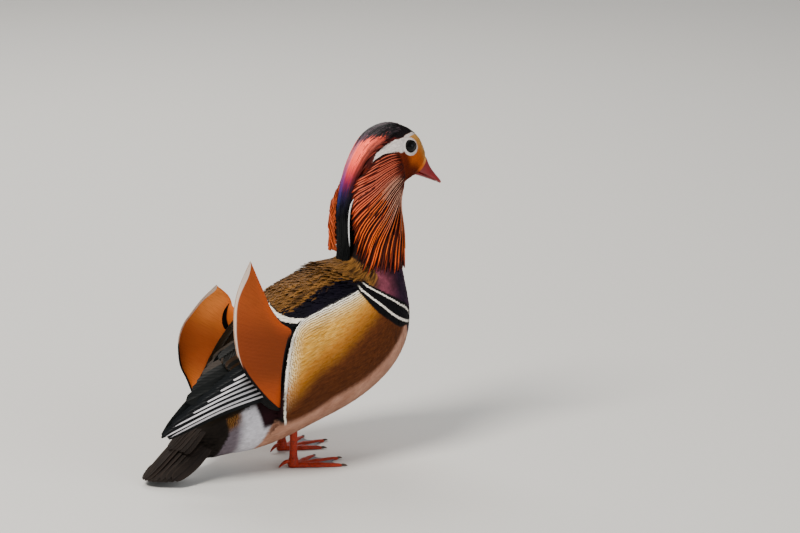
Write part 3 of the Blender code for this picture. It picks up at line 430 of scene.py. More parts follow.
def body_colour(look, t, a, chance, where):
    """The coat's markings from the tail to the bill."""
    soft = look.noise(where, 70, 2)
    streak = look.noise(look.combine(look.times(a, 0.5), look.times(t, 1.3)), 1.0, 3)

    mantle = look.mix(look.step(streak, 0.34, 0.66), (0.20, 0.125, 0.05), (0.50, 0.335, 0.14))
    mantle = look.mix(look.times(look.step(chance, 0.5, 1.0), 0.22), mantle, (0.17, 0.115, 0.05))
    rump = look.mix(streak, (0.025, 0.03, 0.022), (0.13, 0.09, 0.04))
    colour = look.mix(look.step(t, 3.62, 3.3), mantle, rump)

    ragged = look.times(look.minus(chance, 0.5), 7)
    top = look.angle_at(t, SCAPULAR_TOP)
    shoulder = look.step(look.minus(look.plus(a, ragged), top), -0.8, 0.8)
    scapular = look.times(shoulder, look.band(t, 3.5, 6.5, 0.05))
    colour = look.mix(scapular, colour, look.mix(soft, (0.008, 0.009, 0.02), (0.05, 0.028, 0.09)))

    upper = look.rung_at(a, [(0, 3.64), (15.3, 3.55), (26.8, 3.58), (35.8, 3.72), (44.6, 4.0), (180, 4.05)])
    lower = look.rung_at(a, [(0, 3.58), (23.9, 3.49), (33.6, 3.52), (41.2, 3.69), (46.6, 3.82), (180, 3.87)])
    near_top = look.step(a, 47.5, 45.5)
    bordered = look.band(t, look.minus(lower, 0.19), look.plus(upper, 0.03), 0.02)
    colour = look.mix(look.times(near_top, bordered), colour, BLACK)
    colour = look.mix(look.times(near_top, look.band(t, lower, upper, 0.015)), colour, WHITE)

    front = look.rung_at(a, FLANK_FRONT)
    line_low = look.rung_at(a, LOWER_LINE)
    line_high = look.rung_at(a, UPPER_LINE)
    rear = look.rung_at(a, [(0, 4.02), *FLANK_REAR, (180, 3.0)])
    behind = look.minus(t, rear)
    on_flank = look.step(look.minus(t, line_high), 0.1, 0.05)
    under = look.angle_at(t, BELLY_EDGE)
    colour = look.mix(
        look.times(look.step(a, 43, 44.5), look.step(behind, -0.1, -0.09), on_flank), colour,
        flank_colour(look, t, a, behind, chance, where),
    )
    # The belly's pinkish tan is partly its own colour and partly painted shade, darker than its pale
    # feathers.
    belly = look.mix(soft, (0.56, 0.37, 0.28), (0.75, 0.57, 0.48))
    on_belly = look.step(look.minus(a, under), -3.5, 4)
    colour = look.mix(look.times(on_belly, look.step(t, 2.3, 2.5)), colour, belly)
    vent = look.minus(t, look.rung_at(a, [(0, 2.9), (104, 2.9), (116, 2.7), (124, 2.62), (180, 2.5)]))
    vent = look.times(look.step(vent, 0.06, -0.06), look.step(a, 84, 90))
    colour = look.mix(vent, colour, vent_colour(look, t, a, where))

    bars = look.step(a, 38, 41)
    # The breast is paler mauve high on the side, partly its own colour and partly painted sheen, and deepens
    # to indigo towards the belly.
    mauve = look.mix(look.step(soft, 0.3, 0.7), (0.24, 0.10, 0.13), (0.44, 0.21, 0.26))
    indigo = look.mix(look.step(soft, 0.3, 0.7), (0.07, 0.035, 0.09), (0.20, 0.09, 0.19))
    breast = look.mix(look.step(a, 62, 98), mauve, indigo)
    start = look.rung_at(a, [(0, 8.7), (44, 7.95), (50, 7.7), (60, 7.5), (90, 7.35), (180, 7.25)])
    colour = look.mix(look.step(look.minus(t, start), -0.08, 0.08), colour, breast)
    nape = look.mix(streak, (0.03, 0.02, 0.02), (0.12, 0.06, 0.035))
    colour = look.mix(look.times(look.step(t, 7.4, 7.62), look.step(a, 39, 29)), colour, nape)
    ahead = look.step(look.minus(t, look.plus(line_high, 0.14)), -0.04, 0.04)
    colour = look.mix(look.times(ahead, look.step(a, 50, 58)), colour, breast)
    dark = look.band(t, look.plus(front, 0.02), look.plus(line_high, 0.17), 0.04)
    dark = look.times(dark, look.step(a, 134, 122))
    colour = look.mix(look.times(bars, dark), colour, BLACK)
    ends = look.times(look.step(a, 40, 46), look.step(a, 126, 119))
    for line, thickness in ((line_low, 0.047), (line_high, 0.038)):
        stripe = look.band(t, look.minus(line, thickness), look.plus(line, thickness), 0.015)
        colour = look.mix(look.times(stripe, ends), colour, WHITE)
    return colour


SCAPULAR_TOP = [
    (0, 27), (3.64, 27), (3.95, 31.8), (4.44, 29.7), (5.4, 29.3), (5.89, 32.4), (6.47, 39.2), (18, 39.2),
]
BELLY_EDGE = [
    (0, 110), (2.92, 113.3), (3.35, 116.5), (3.81, 118.9), (4.21, 117.4), (4.59, 116.8), (5, 115.8),
    (5.5, 114.1), (6.1, 111.6), (6.8, 109.6), (7.55, 107.5), (18, 107.5),
]
FLANK_FRONT = [
    (0, 5.97), (45, 6.03), (58.3, 6.09), (70.7, 6.21), (84.3, 6.48), (101.8, 6.83), (115.6, 7.26),
    (140, 7.6), (180, 7.6),
]
LOWER_LINE = [
    (0, 6.16), (42.4, 6.21), (54.3, 6.34), (68.5, 6.57), (87.2, 6.87), (113.5, 7.39), (126, 7.6),
    (180, 7.6),
]
UPPER_LINE = [
    (0, 6.46), (40, 6.51), (53.2, 6.74), (65.6, 7.01), (85.2, 7.4), (116.9, 7.82), (150, 7.66),
    (180, 7.6),
]
RUNG_MM = 40
DEGREE_MM = 1.05
VERMICULE_MM = 1.9
# Angles for each rung below which the flank darkens to brown: partly its own brown, partly painted shade.
FLANK_BROWN_AND_SHADE = [
    (0, 99), (2.95, 99), (3.24, 96.4), (3.54, 91.7), (3.83, 87.5), (4.43, 84), (4.81, 80.2), (5.3, 76),
    (5.8, 73), (6.29, 71), (7, 70), (18, 70),
]


def flank_colour(look, t, a, behind, chance, where):
    """Pale and finely vermiculated along its rear and top, gold, then dark brown towards the belly, partly
    its own brown and partly painted shade, edged white at its rear.
    """
    from_rear = look.times(behind, RUNG_MM)
    from_top = look.times(look.minus(a, 43), DEGREE_MM)
    depth = look.node("Math", [(0, from_rear), (1, from_top), (2, 10.0)], operation="SMOOTH_MIN").outputs[0]
    wander = look.times(look.noise(where, 300, 2), 4.5)
    wave = look.math("SINE", look.plus(look.times(depth, 2 * math.pi / VERMICULE_MM), wander))
    lines = look.step(wave, -0.75, 0.25)
    streak = look.noise(look.combine(look.times(a, 0.8), look.times(t, 3)), 1.0, 2)
    pale = look.mix(lines, (0.22, 0.20, 0.18), (0.97, 0.95, 0.90))
    tan = look.mix(lines, (0.60, 0.46, 0.26), (0.90, 0.79, 0.56))
    gold = look.mix(look.step(streak, 0.3, 0.7), (0.67, 0.46, 0.13), (0.82, 0.61, 0.25))
    colour = look.mix(look.step(depth, 0, 9), pale, tan)
    colour = look.mix(look.step(depth, 6, 18), colour, gold)
    cross = look.noise(look.combine(look.times(a, 1.6), look.times(t, 5)), 1.0, 1)
    faint = look.times(look.step(cross, 0.5, 0.68), look.step(depth, 6, 14), 0.5)
    colour = look.mix(faint, colour, (0.86, 0.70, 0.38))
    # Painted shade, partly its own brown: below these angles the flank darkens through deep gold to brown.
    brown_and_shade_from = look.angle_at(t, FLANK_BROWN_AND_SHADE)
    past = look.minus(look.plus(a, look.times(look.minus(chance, 0.5), 3)), brown_and_shade_from)
    colour = look.mix(look.times(look.step(past, -22, -6), 0.7), colour, (0.60, 0.33, 0.06))
    brown = look.mix(look.step(streak, 0.3, 0.7), (0.27, 0.125, 0.035), (0.34, 0.17, 0.055))
    colour = look.mix(look.step(past, -13, 9), colour, brown)
    rim = look.times(look.band(from_rear, 1.0, 3.0, 0.25), look.step(a, 46, 50))
    colour = look.mix(look.times(look.band(from_rear, 3.1, 3.9, 0.25), 0.45), colour, (0.30, 0.26, 0.22))
    colour = look.mix(rim, colour, WHITE)
    return look.mix(look.step(from_rear, 1.1, 0.9), colour, BLACK)


def vent_colour(look, t, a, where):
    """Under the wing: a maroon patch, partly painted shadow of the flank's rear edge, white vent, an ochre
    patch and the dark root of the tail.
    """
    soft = look.noise(where, 90, 2)
    lines = look.step(look.math("SINE", look.plus(look.times(t, 120), look.times(soft, 44))), -0.7, 0.7)
    colour = look.mix(look.step(t, 1.75, 2.15), (0.40, 0.36, 0.39), (0.80, 0.79, 0.82))
    ochre = look.mix(lines, (0.28, 0.17, 0.07), (0.50, 0.33, 0.14))
    loose = look.minus(look.noise(where, 60, 2), 0.5)
    in_ochre = look.band(look.plus(t, look.times(loose, 0.7)), 1.42, 1.95, 0.14)
    in_ochre = look.times(in_ochre, look.step(look.plus(a, look.times(loose, 22)), 113, 101))
    colour = look.mix(in_ochre, colour, ochre)
    # Behind the flank's rear edge the vent turns maroon: partly its own maroon, partly painted shadow of the
    # flank.
    maroon = look.mix(soft, (0.045, 0.012, 0.02), (0.15, 0.03, 0.06))
    patch = look.step(look.plus(t, look.times(look.minus(a, 97), -0.006)), 2.33, 2.45)
    colour = look.mix(look.times(patch, look.step(a, 121, 113)), colour, maroon)
    end = look.rung_at(a, [(0, 1.55), (86, 1.52), (110, 1.56), (129, 1.38), (168, 1.25), (180, 1.15)])
    dark = look.mix(soft, (0.07, 0.055, 0.045), (0.13, 0.105, 0.085))
    return look.mix(look.step(look.minus(t, end), 0.06, -0.06), colour, dark)


def head_colour(look, colour, t, a, where):
    """The neck and head over the body's markings."""
    soft = look.noise(where, 110, 2)
    rust = look.mix(soft, (0.20, 0.035, 0.012), (0.38, 0.09, 0.025))
    colour = look.mix(look.step(t, 8.9, 10.2), colour, rust)

    cheek = look.mix(soft, (0.29, 0.08, 0.018), (0.44, 0.15, 0.035))
    colour = look.mix(look.step(t, 12.8, 13.4), colour, cheek)
    ochre = look.mix(look.step(a, 25, 88), (0.80, 0.61, 0.32), (0.76, 0.36, 0.06))
    front = look.times(look.step(t, 15.2, 16.1), look.step(look.plus(a, look.times(soft, 16)), 132, 96))
    colour = look.mix(front, colour, ochre)

    high = look.angle_at(t, BROW_TOP)
    low = look.angle_at(t, BROW_LOW)
    below_top = look.step(look.minus(a, high), -1.2, 1.2)
    pale = look.times(below_top, look.step(look.minus(low, a), -1.6, 1.6))
    pale = look.times(pale, look.band(t, 13.05, 16.75, 0.1))
    ring = 0.0
    for word in (-1, 1):
        centre, way = eye_frame(word)
        spot = metres(turned(centre + way * EYE_SUNK))
        away = look.node("VectorMath", [(0, where), (1, tuple(spot))], operation="DISTANCE").outputs["Value"]
        ring = look.math("MAXIMUM", ring, look.step(away, EYE_RING * MM, (EYE_RING - 0.7) * MM))
    cream = look.mix(soft, (0.78, 0.73, 0.70), (0.90, 0.87, 0.85))
    colour = look.mix(look.math("MAXIMUM", pale, ring), colour, cream)

    above = look.step(look.minus(high, a), -1.0, 1.0)
    copper = look.mix(soft, (0.17, 0.05, 0.045), (0.34, 0.11, 0.09))
    colour = look.mix(look.times(above, look.band(t, 12.6, 16.5, 0.12)), colour, copper)
    crown = look.step(look.minus(look.angle_at(t, CROWN_EDGE), a), -1.5, 1.5)
    gloss = look.mix(look.noise(where, 60, 1), (0.012, 0.009, 0.014), (0.12, 0.09, 0.095))
    return look.mix(look.times(crown, look.band(t, 13.2, 16.7, 0.1)), colour, gloss)


EYE_RING = 8.6
BROW_TOP = [
    (0, 52.7), (13.16, 52.7), (13.47, 51.6), (13.83, 53.8), (14.24, 55.2), (14.68, 55.2), (15.13, 55.9),
    (15.75, 43), (16.12, 30.9), (16.55, 15), (18, 9),
]
BROW_LOW = [
    (0, 54), (13.05, 54.7), (13.37, 60.4), (13.82, 66.7), (14.26, 73.2), (14.72, 79.1), (14.95, 83),
    (15.15, 82), (15.36, 68), (15.52, 60), (15.95, 46.4), (16.33, 33.6), (16.72, 17), (18, 10),
]
CROWN_EDGE = [
    (0, 0), (13.2, 0), (13.4, 12), (13.62, 26), (13.9, 36), (14.3, 46), (14.88, 50.5), (15.13, 54),
    (15.76, 41.5), (16.15, 29.5), (16.55, 14), (18, 8),
]


def feather_relief(look):
    """The place in its own feather, the distance from its shaft and barbs that slant off it."""
    vane = look.split(look.attribute("vane"))
    off = look.math("ABSOLUTE", vane[1])
    barbs = look.math("SINE", look.times(look.minus(look.times(vane[0], 26), look.times(off, 5)), math.pi))
    return vane, off, barbs


def coat_material():
    look = Look("plumage")
    where = look.coordinates()
    place = look.split(look.attribute("lay"))
    drift = look.minus(look.noise(where, 230, 2), 0.5)
    t = look.plus(place[0], look.times(drift, 0.025))
    a = look.plus(look.math("ABSOLUTE", place[1]), look.times(drift, 1.1))
    colour = head_colour(look, body_colour(look, t, a, place[2], where), t, a, where)
    barbs = feather_relief(look)[2]
    shade = look.plus(0.86, look.times(place[2], 0.24))
    shade = look.plus(shade, look.times(barbs, 0.035))
    colour = look.shaded(colour, shade)
    normal = look.bump(look.plus(look.times(barbs, 0.3), look.noise(where, 1500, 2)), 0.00008, 0.5)
    return look.finish(colour, 0.7, normal, specular=0.1)


# Skin and small feathers

SKIN_ROWS = 330
SKIN_SIDES = 150
SKIN_DEPTH = 0.6
HEAD_SKIN_DEPTH = 0.45


def skin_place(v, a):
    """t for a row of the skin. A few rows crowd at the flank's rear edge, so that its step stays crisp."""
    edge = flank_rear(a)
    return np.where(
        v < 0.2, v / 0.2 * (edge - 0.1),
        np.where(v < 0.215, edge - 0.1 + (v - 0.2) / 0.015 * 0.1, edge + (v - 0.215) / 0.785 * (LAST - edge)),
    )


def make_skin(material):
    deselect()
    bpy.ops.mesh.primitive_uv_sphere_add(segments=SKIN_SIDES, ring_count=SKIN_ROWS, radius=1)
    obj = bpy.context.object
    obj.name = "skin"
    mesh = obj.data
    co = np.empty(len(mesh.vertices) * 3)
    mesh.vertices.foreach_get("co", co)
    co = co.reshape(-1, 3)
    row = np.round(np.arccos(np.clip(co[:, 2], -1, 1)) / math.pi * SKIN_ROWS)
    a = np.degrees(np.arctan2(co[:, 1], co[:, 0]))
    t = skin_place(np.clip((row - 1) / (SKIN_ROWS - 2), 0, 1), a)
    depth = lerp(SKIN_DEPTH, HEAD_SKIN_DEPTH, smooth((t - 12) / 2))
    points = surface(t, a, -depth)
    for pole, rung in ((0, 0.0), (SKIN_ROWS, float(LAST))):
        ends = row == pole
        points[ends] = surface(np.full(90, rung), np.arange(90) * 4 - 180.0, -0.5).mean(0)
    mesh.vertices.foreach_set("co", metres(points).astype(np.float32).ravel())
    set_lay(mesh, np.stack([t, a, np.full(len(t), 0.5)], -1), np.zeros((len(t), 3)))
    bpy.ops.object.mode_set(mode="EDIT")
    bpy.ops.mesh.select_all(action="SELECT")
    bpy.ops.mesh.normals_make_consistent(inside=False)
    bpy.ops.object.mode_set(mode="OBJECT")
    bpy.ops.object.shade_smooth()
    mesh.materials.append(material)
    uv = mesh.uv_layers.get("UVMap") or mesh.uv_layers[0]
    uv.name = "OFBake"
    return finished(obj, "body_plumage", "torso", "neck", "head")


def rung_length(t, a):
    return np.linalg.norm(plain_body(np.minimum(t + 0.1, LAST), a) - plain_body(t - 0.1, a), axis=-1) / 0.2


def scattered(t_low, t_high, a_low, a_high, along, across, rng):
    """Staggered roots of feathers between two rungs and two angles, as arrays of t and a."""
    rows = []
    t = float(t_high)
    ring = np.linspace(a_low, a_high, 41)
    while t > t_low:
        here = np.full(41, t)
        length = np.linalg.norm(np.diff(plain_body(here, ring), axis=0), axis=1).sum()
        count = max(int(length / across), 3)
        step = along / float(np.median(rung_length(here, ring)))
        a = a_low + (a_high - a_low) * (np.arange(count) + rng.uniform(0.1, 0.9, count)) / count
        rows.append(np.stack([np.clip(t + rng.uniform(-0.5, 0.5, count) * step, t_low, t_high), a], -1))
        t -= step
    return np.concatenate(rows)


def small_feathers(
    name, roots, length, half_width, lift, ridge, material, rng,
    fan=0.0, steps=5, wild=0.06, slot="body_plumage",
):
    """Contour feathers that lie towards the tail over the skin. lift may differ from one to the next."""
    n = len(roots)
    t0 = roots[:, 0]
    a0 = roots[:, 1]
    f = np.linspace(0, 1, steps)[None]
    reach = length * rng.uniform(0.82, 1.15, n) / np.maximum(rung_length(t0, a0), 3)
    over_edge = t0 > flank_rear(a0)
    if "flank" in name:
        reach = np.minimum(reach, t0 - flank_rear(a0) + FLANK_OVERHANG)
    t = t0[:, None] - reach[:, None] * f
    a = a0[:, None] + (fan * np.sin(np.radians(a0)) + rng.normal(0, 1.2, n))[:, None] * f
    held = np.where(over_edge[:, None], np.maximum(t, flank_rear(a) + 0.02), t)
    up = rise(held, a) + lerp(-SKIN_DEPTH - 0.25, np.reshape(lift, (-1, 1)), f**0.8)
    up = up + rng.uniform(-wild, wild, n)[:, None] * f
    t_safe = np.clip(t, 0.02, LAST)
    normal = body_normal(t_safe, a)
    path = turned(plain_body(t_safe, a) + normal * up[..., None])
    shape = np.interp(np.linspace(0, 1, steps), [0, 0.25, 0.6, 0.85, 1], [0.55, 0.9, 1.0, 0.72, 0.22])
    width = half_width * shape[None] * rng.uniform(0.85, 1.15, n)[:, None]
    lay = np.stack([t_safe, a], -1)
    obj = blades(name, path, normal, width, ridge, RIDGE, material, lay, rng.uniform(0, 1, n))
    return finished(obj, slot)


MANTLE_PUFF = 3.4
NAPE_PUFF = 4.0
VENT_PUFF = 4.5
FLANK_OVERHANG = 0.03


def make_body_feathers(material, rng):
    """Contour feathers of the trunk and neck, in zones of one size each."""
    zones = [
        ("breast_feathers", 6.2, 10.5, -180, 180, 2.4, 2.2, 8.0, 1.9, 0.02, 0.13, 0),
        ("mantle_feathers", 3.4, 7.6, -46, 46, 2.8, 2.4, 13, 2.3, 0.15, 0.2, 0),
        ("rump_feathers", 0.25, 3.6, -84, 84, 3.2, 2.9, 13, 2.5, 0.15, 0.2, 4),
        ("flank_feathers_right", 2.95, 6.5, -124, -40, 2.0, 1.8, 10, 1.6, -0.02, 0.09, 3),
        ("flank_feathers_left", 2.95, 6.5, 40, 124, 2.0, 1.8, 10, 1.6, -0.02, 0.09, 3),
        ("belly_feathers_right", 2.2, 6.8, -180, -116, 2.4, 2.2, 10, 1.9, 0.0, 0.11, 0),
        ("belly_feathers_left", 2.2, 6.8, 116, 180, 2.4, 2.2, 10, 1.9, 0.0, 0.11, 0),
        ("vent_feathers_right", 0.25, 2.9, -180, -80, 2.5, 2.3, 12, 1.9, 0.1, 0.15, 0),
        ("vent_feathers_left", 0.25, 2.9, 80, 180, 2.5, 2.3, 12, 1.9, 0.1, 0.15, 0),
        ("neck_feathers", 10.3, 13.9, -180, 180, 2.2, 2.0, 6.5, 1.4, 0.2, 0.24, 0),
    ]
    pieces = []
    for name, t_low, t_high, a_low, a_high, along, across, length, width, lift, ridge, fan in zones:
        roots = scattered(t_low, t_high, a_low, a_high, along, across, rng)
        keep = np.ones(len(roots), bool)
        if "flank" in name:
            keep = roots[:, 0] > flank_rear(roots[:, 1]) + 0.06
        if "vent" in name or "rump" in name:
            keep = roots[:, 0] < flank_rear(roots[:, 1]) - 0.05
        roots = roots[keep]
        if "mantle" in name:
            side = smooth((46 - np.abs(roots[:, 1])) / 22)
            t = roots[:, 0]
            lift = lift + MANTLE_PUFF * side * smooth((t - 3.7) / 0.9) * smooth((7.2 - t) / 0.9)
            lift = lift + NAPE_PUFF * side * smooth((t - 5.4) / 1.1) * smooth((7.9 - t) / 0.7)
        if "vent" in name:
            lift = lift + VENT_PUFF * smooth((roots[:, 0] - 0.4) / 0.7) * smooth((2.3 - roots[:, 0]) / 0.9)
            lift = lift * smooth((np.abs(roots[:, 1]) - 92) / 40) + 0.1
        slot = "neck_plumage" if "neck" in name else "body_plumage"
        pieces.append(small_feathers(name, roots, length, width, lift, ridge, material, rng, fan, slot=slot))
    return pieces


def eye_frame(side):
    """Centre of an eye and the way that it looks, before the head turns, in millimetres."""
    grid_t, grid_a = np.meshgrid(np.linspace(13, 17.9, 260), np.linspace(20, 140, 260) * side)
    spots = plain_body(grid_t.ravel(), grid_a.ravel())
    best = np.argmin((spots[:, 0] - EYE_AT[0]) ** 2 + (spots[:, 2] - EYE_AT[1]) ** 2)
    forward = math.radians(EYE_FORWARD)
    way = unit(np.array([math.sin(forward), side * math.cos(forward), 0.06]))
    return spots[best] - way * EYE_SUNK, way


EYE_AT = (132.4, 270)
EYE_RADIUS = 5.8
EYE_SUNK = 2.6
EYE_FORWARD = 12
EYE_CLEAR = 6.3
EYE_CLEAR_DEPTH = 4
CORNEA_RADIUS = 3.9
CORNEA_RISE = 0.5
SHOWN_EYE_RADIUS = 5.2
LID_RADIUS = 4.95
LID_THICKNESS = 0.62


def make_head_feathers(material, rng):
    """Fine tufts of the head, smallest on the face, with the eyes left clear."""
    pieces = []
    zones = [
        ("nape_tufts", 13.0, 15.2, 1.5, 1.3, 4.6, 0.85, 0.22, 0.2),
        ("face_tufts", 14.9, 17.75, 1.0, 0.9, 2.7, 0.5, 0.14, 0.14),
    ]
    for name, t_low, t_high, along, across, length, width, lift, ridge in zones:
        roots = scattered(t_low, t_high, -180, 180, along, across, rng)
        spots = plain_body(roots[:, 0], roots[:, 1])
        clear = np.ones(len(roots), bool)
        for side in (-1, 1):
            centre, way = eye_frame(side)
            off = spots - centre
            radial = np.linalg.norm(off - np.outer(off @ way, way), axis=1)
            clear &= ~((radial < EYE_CLEAR) & (off @ way > -EYE_CLEAR_DEPTH))
        pieces.append(small_feathers(
            name, roots[clear], length, width, lift, ridge, material, rng, 0, 4, 0.06, "head_plumage"
        ))
    return pieces


# Crest and ruff

CREST_GUIDE = [
    (133, 286.3), (118, 290.2), (103.3, 287.2), (91.2, 278.7), (80.6, 262.6), (72.8, 242), (68.8, 219.6),
    (67, 197), (66, 181), (62.5, 167),
]
CREST_HALF_WIDTHS = ([0, 0.12, 0.25, 0.38, 0.52, 0.68, 0.85, 1], [6, 13, 16.5, 14.5, 11.5, 9.3, 8.8, 10])
RUFF_GUIDES = [
    [(50, 265), (65, 266), (82, 265), (101, 262), (118, 260)],
    [(46, 261), (66, 260), (95, 256), (122, 252), (143, 246)],
    [(45, 257), (69, 254), (104, 248), (134, 242), (150, 235)],
    [(42, 254), (69, 249), (110, 240), (138, 229), (151, 219)],
    [(41, 250), (66, 243), (106, 232), (132, 218), (151, 204)],
    [(38, 247), (60, 239), (102, 225), (129, 207), (151, 183)],
    [(36, 243), (54, 234), (93, 220), (123, 199), (149, 168)],
    [(34, 240), (47, 228), (84, 212), (113, 191), (134, 161)],
    [(29, 236), (39, 224), (68, 207), (91, 187), (104, 162)],
    [(21, 232), (29, 218), (45, 200), (62, 182), (74, 161)],
    [(10, 230), (14, 216), (20, 200), (28, 183), (38, 163)],
    [(3, 229), (4, 214), (6, 198), (9, 184), (13, 168)],
]
RUFF_TIP_RADII = [(0, 22.5), (14, 23), (38, 25.5), (66, 29), (92, 33), (114, 35), (130, 35.5), (180, 34.5)]
LEFT_FLARE = 5.2
LEFT_WRAP = 14
FLARE_TOP_Z = 238
LEFT_FOOT_Z = 175


def crest_path(u, start, finish, depth, steps, sway):
    """Points and outer sides of locks that follow the crest's guide, u across it from -1 to 1."""
    s = start[:, None] + (finish - start)[:, None] * np.linspace(0, 1, steps)[None]
    here = curve(CREST_GUIDE, s)
    along = unit(curve(CREST_GUIDE, s + 0.02) - curve(CREST_GUIDE, s - 0.02))
    normal = np.stack([along[..., 1], -along[..., 0]], -1)
    flip = np.where(s > 0.5, np.where(normal[..., 0] > 0, -1, 1), np.where(normal[..., 1] < 0, -1, 1))
    normal = normal * flip[..., None]
    spread = np.interp(s, *CREST_HALF_WIDTHS)
    across = u[:, None] + sway[:, None] * (s - start[:, None])
    rooted = 3.0 * (1 - smooth((s - start[:, None]) / 0.06))
    sink = depth[:, None] + 5.5 * across**2 * (spread / 10.5) ** 1.3 + rooted
    x = here[..., 0] - normal[..., 0] * sink
    z = here[..., 1] - normal[..., 1] * sink
    points = np.stack([x, across * spread, z], -1)
    ups = unit(np.stack([normal[..., 0], 0.9 * across, normal[..., 1]], -1))
    return turned(points), ups, s, across


def crest_colour(s, u, chance):
    """Colours along the crest: black crown, coppery red, purple, blue and a green-black end. The bronze and
    purple-grey on the black crown are painted sheen; the middle's pale lilac-pink and brighter blue are
    partly its own colour and partly painted sheen.
    """
    stops = [0.0, 0.36, 0.46, 0.52, 0.57, 0.62, 0.67, 0.72, 1.0]
    # The middle's pale lilac-pink and brighter blue are partly its own colour, partly painted sheen.
    middle = [
        (0.40, 0.10, 0.08), (0.72, 0.36, 0.42), (0.76, 0.42, 0.50), (0.56, 0.28, 0.50), (0.36, 0.17, 0.46),
        (0.09, 0.13, 0.45), (0.02, 0.07, 0.18), (0.006, 0.014, 0.02), (0.006, 0.012, 0.012),
    ]
    sides = [
        (1.0, 0.28, 0.18), (1.0, 0.37, 0.26), (1.0, 0.34, 0.25), (0.78, 0.19, 0.21), (0.42, 0.09, 0.24),
        (0.07, 0.05, 0.22), (0.014, 0.02, 0.06), (0.006, 0.012, 0.014), (0.006, 0.010, 0.010),
    ]
    place = s + (chance[:, None] - 0.5) * 0.05
    inner = np.stack([np.interp(place, stops, [c[k] for c in middle]) for k in range(3)], -1)
    outer = np.stack([np.interp(place, stops, [c[k] for c in sides]) for k in range(3)], -1)
    mixed = lerp(inner, outer, smooth((np.abs(u) - 0.08) / 0.3)[..., None])
    mixed = mixed * lerp(1.0, 0.5, smooth((np.abs(u) - 0.72) / 0.25))[..., None]
    mixed = mixed * (0.82 + 0.36 * chance[:, None, None])
    crown = smooth((0.395 - 0.2 * u**2 - place) / 0.025)[..., None]
    # Painted sheen: bronze on some locks of the black crown, turning purple-grey towards its rear.
    bronze_sheen = lerp(np.array([0.015, 0.012, 0.016]), np.array([0.23, 0.18, 0.20]), chance[:, None, None] ** 1.5)
    bronze_sheen = lerp(bronze_sheen, np.array([0.36, 0.26, 0.33]), 0.6 * smooth((place - 0.24) / 0.14)[..., None])
    mixed = lerp(mixed, bronze_sheen, crown)
    return linear_array(mixed)


def tinted_material(name, roughness, gloss, relief=0.5):
    """A finish whose colour each lock carries, with fine barbs along it."""
    look = Look(name)
    where = look.coordinates()
    vane, _, barbs = feather_relief(look)
    shade = look.plus(0.80, look.times(vane[2], 0.36))
    shade = look.plus(shade, look.times(look.minus(look.noise(where, 500, 2), 0.5), 0.3))
    colour = look.shaded(look.attribute("tint", "Color"), shade)
    normal = look.bump(look.plus(look.times(barbs, 0.4), look.noise(where, 1800, 2)), 0.00008, relief)
    return look.finish(colour, roughness, normal, specular=gloss)


PLUMES = 14
LOCK_SHAPE = ([0, 0.12, 0.5, 0.85, 1], [0.5, 0.9, 1.0, 0.85, 0.2])


def lock_widths(half_width, count, steps, rng):
    shape = np.interp(np.linspace(0, 1, steps), *LOCK_SHAPE)
    return half_width * shape[None] * rng.uniform(0.75, 1.25, count)[:, None]


def make_crest(rng):
    """Fine locks from the crown that hang down the nape in tiers, and white plumes behind the eyes."""
    material = tinted_material("crest_feathers", 0.45, 0.16)
    parts = []
    tiers = [
        (420, 0.3, 0.0, 0.34, 0.42, 0.74, 0.62, 0.35, 1.0),
        (400, 1.3, 0.12, 0.46, 0.66, 0.96, 0.70, 0.45, 0.98),
        (320, 2.4, 0.30, 0.60, 0.92, 1.04, 0.80, 0.5, 0.9),
        (220, 4.2, 0.40, 0.66, 0.96, 1.05, 0.95, 0.6, 0.72),
        (90, 7.0, 0.42, 0.62, 0.92, 1.0, 1.3, 0.8, 0.45),
    ]
    paths, ups, widths, thick, lays, tints, luck = [], [], [], [], [], [], []
    steps = 9
    for count, depth, first, last_start, first_end, last_end, half_width, ridge, reach in tiers:
        u = rng.uniform(-reach, reach, count)
        start = np.clip(rng.uniform(first, last_start, count), 0.0, 0.9)
        finish = np.minimum(np.maximum(rng.uniform(first_end, last_end, count), start + 0.2), 1.0)
        finish = finish - 0.02 * np.abs(u) * rng.uniform(0.0, 1.2, count)
        sink = depth + rng.uniform(-0.5, 0.5, count)
        path, up, s, across = crest_path(u, start, finish, sink, steps, rng.normal(0, 0.05, count))
        chance = rng.uniform(0, 1, count)
        paths.append(path)
        ups.append(up)
        widths.append(lock_widths(half_width, count, steps, rng))
        thick.append(np.full((count, steps), ridge * 0.6))
        lays.append(np.stack([16.5 - 4.0 * s, across * 30], -1))
        tints.append(crest_colour(s, across, chance))
        luck.append(chance)
    count = PLUMES
    u = np.repeat([-1.24, 0.96], count // 2) + rng.uniform(-0.025, 0.025, count)
    sink = np.repeat([-1.0, 1.3], count // 2) + rng.uniform(-0.2, 0.2, count)
    start, finish = rng.uniform(0.58, 0.64, count), rng.uniform(0.81, 0.86, count)
    path, up, s, across = crest_path(u, start, finish, sink, steps, np.zeros(count))
    paths.append(path)
    ups.append(up)
    widths.append(lock_widths(0.42, count, steps, rng))
    thick.append(np.full((count, steps), 0.3))
    lays.append(np.stack([16.5 - 4.0 * s, across * 30], -1))
    tints.append(np.full((count, steps, 3), 0.74))
    luck.append(rng.uniform(0.4, 0.9, count))
    stack = np.concatenate
    obj = blades(
        "crest", stack(paths), stack(ups), stack(widths), stack(thick), LOCK, material,
        stack(lays), stack(luck), stack(tints),
    )
    parts.append(finished(obj, "head_plumage"))
    return parts


def round_neck(azimuth, radius, z, side):
    a = np.radians(azimuth)
    return np.stack([NECK_AXIS_X + radius * np.cos(a), side * radius * np.sin(a), z], -1)


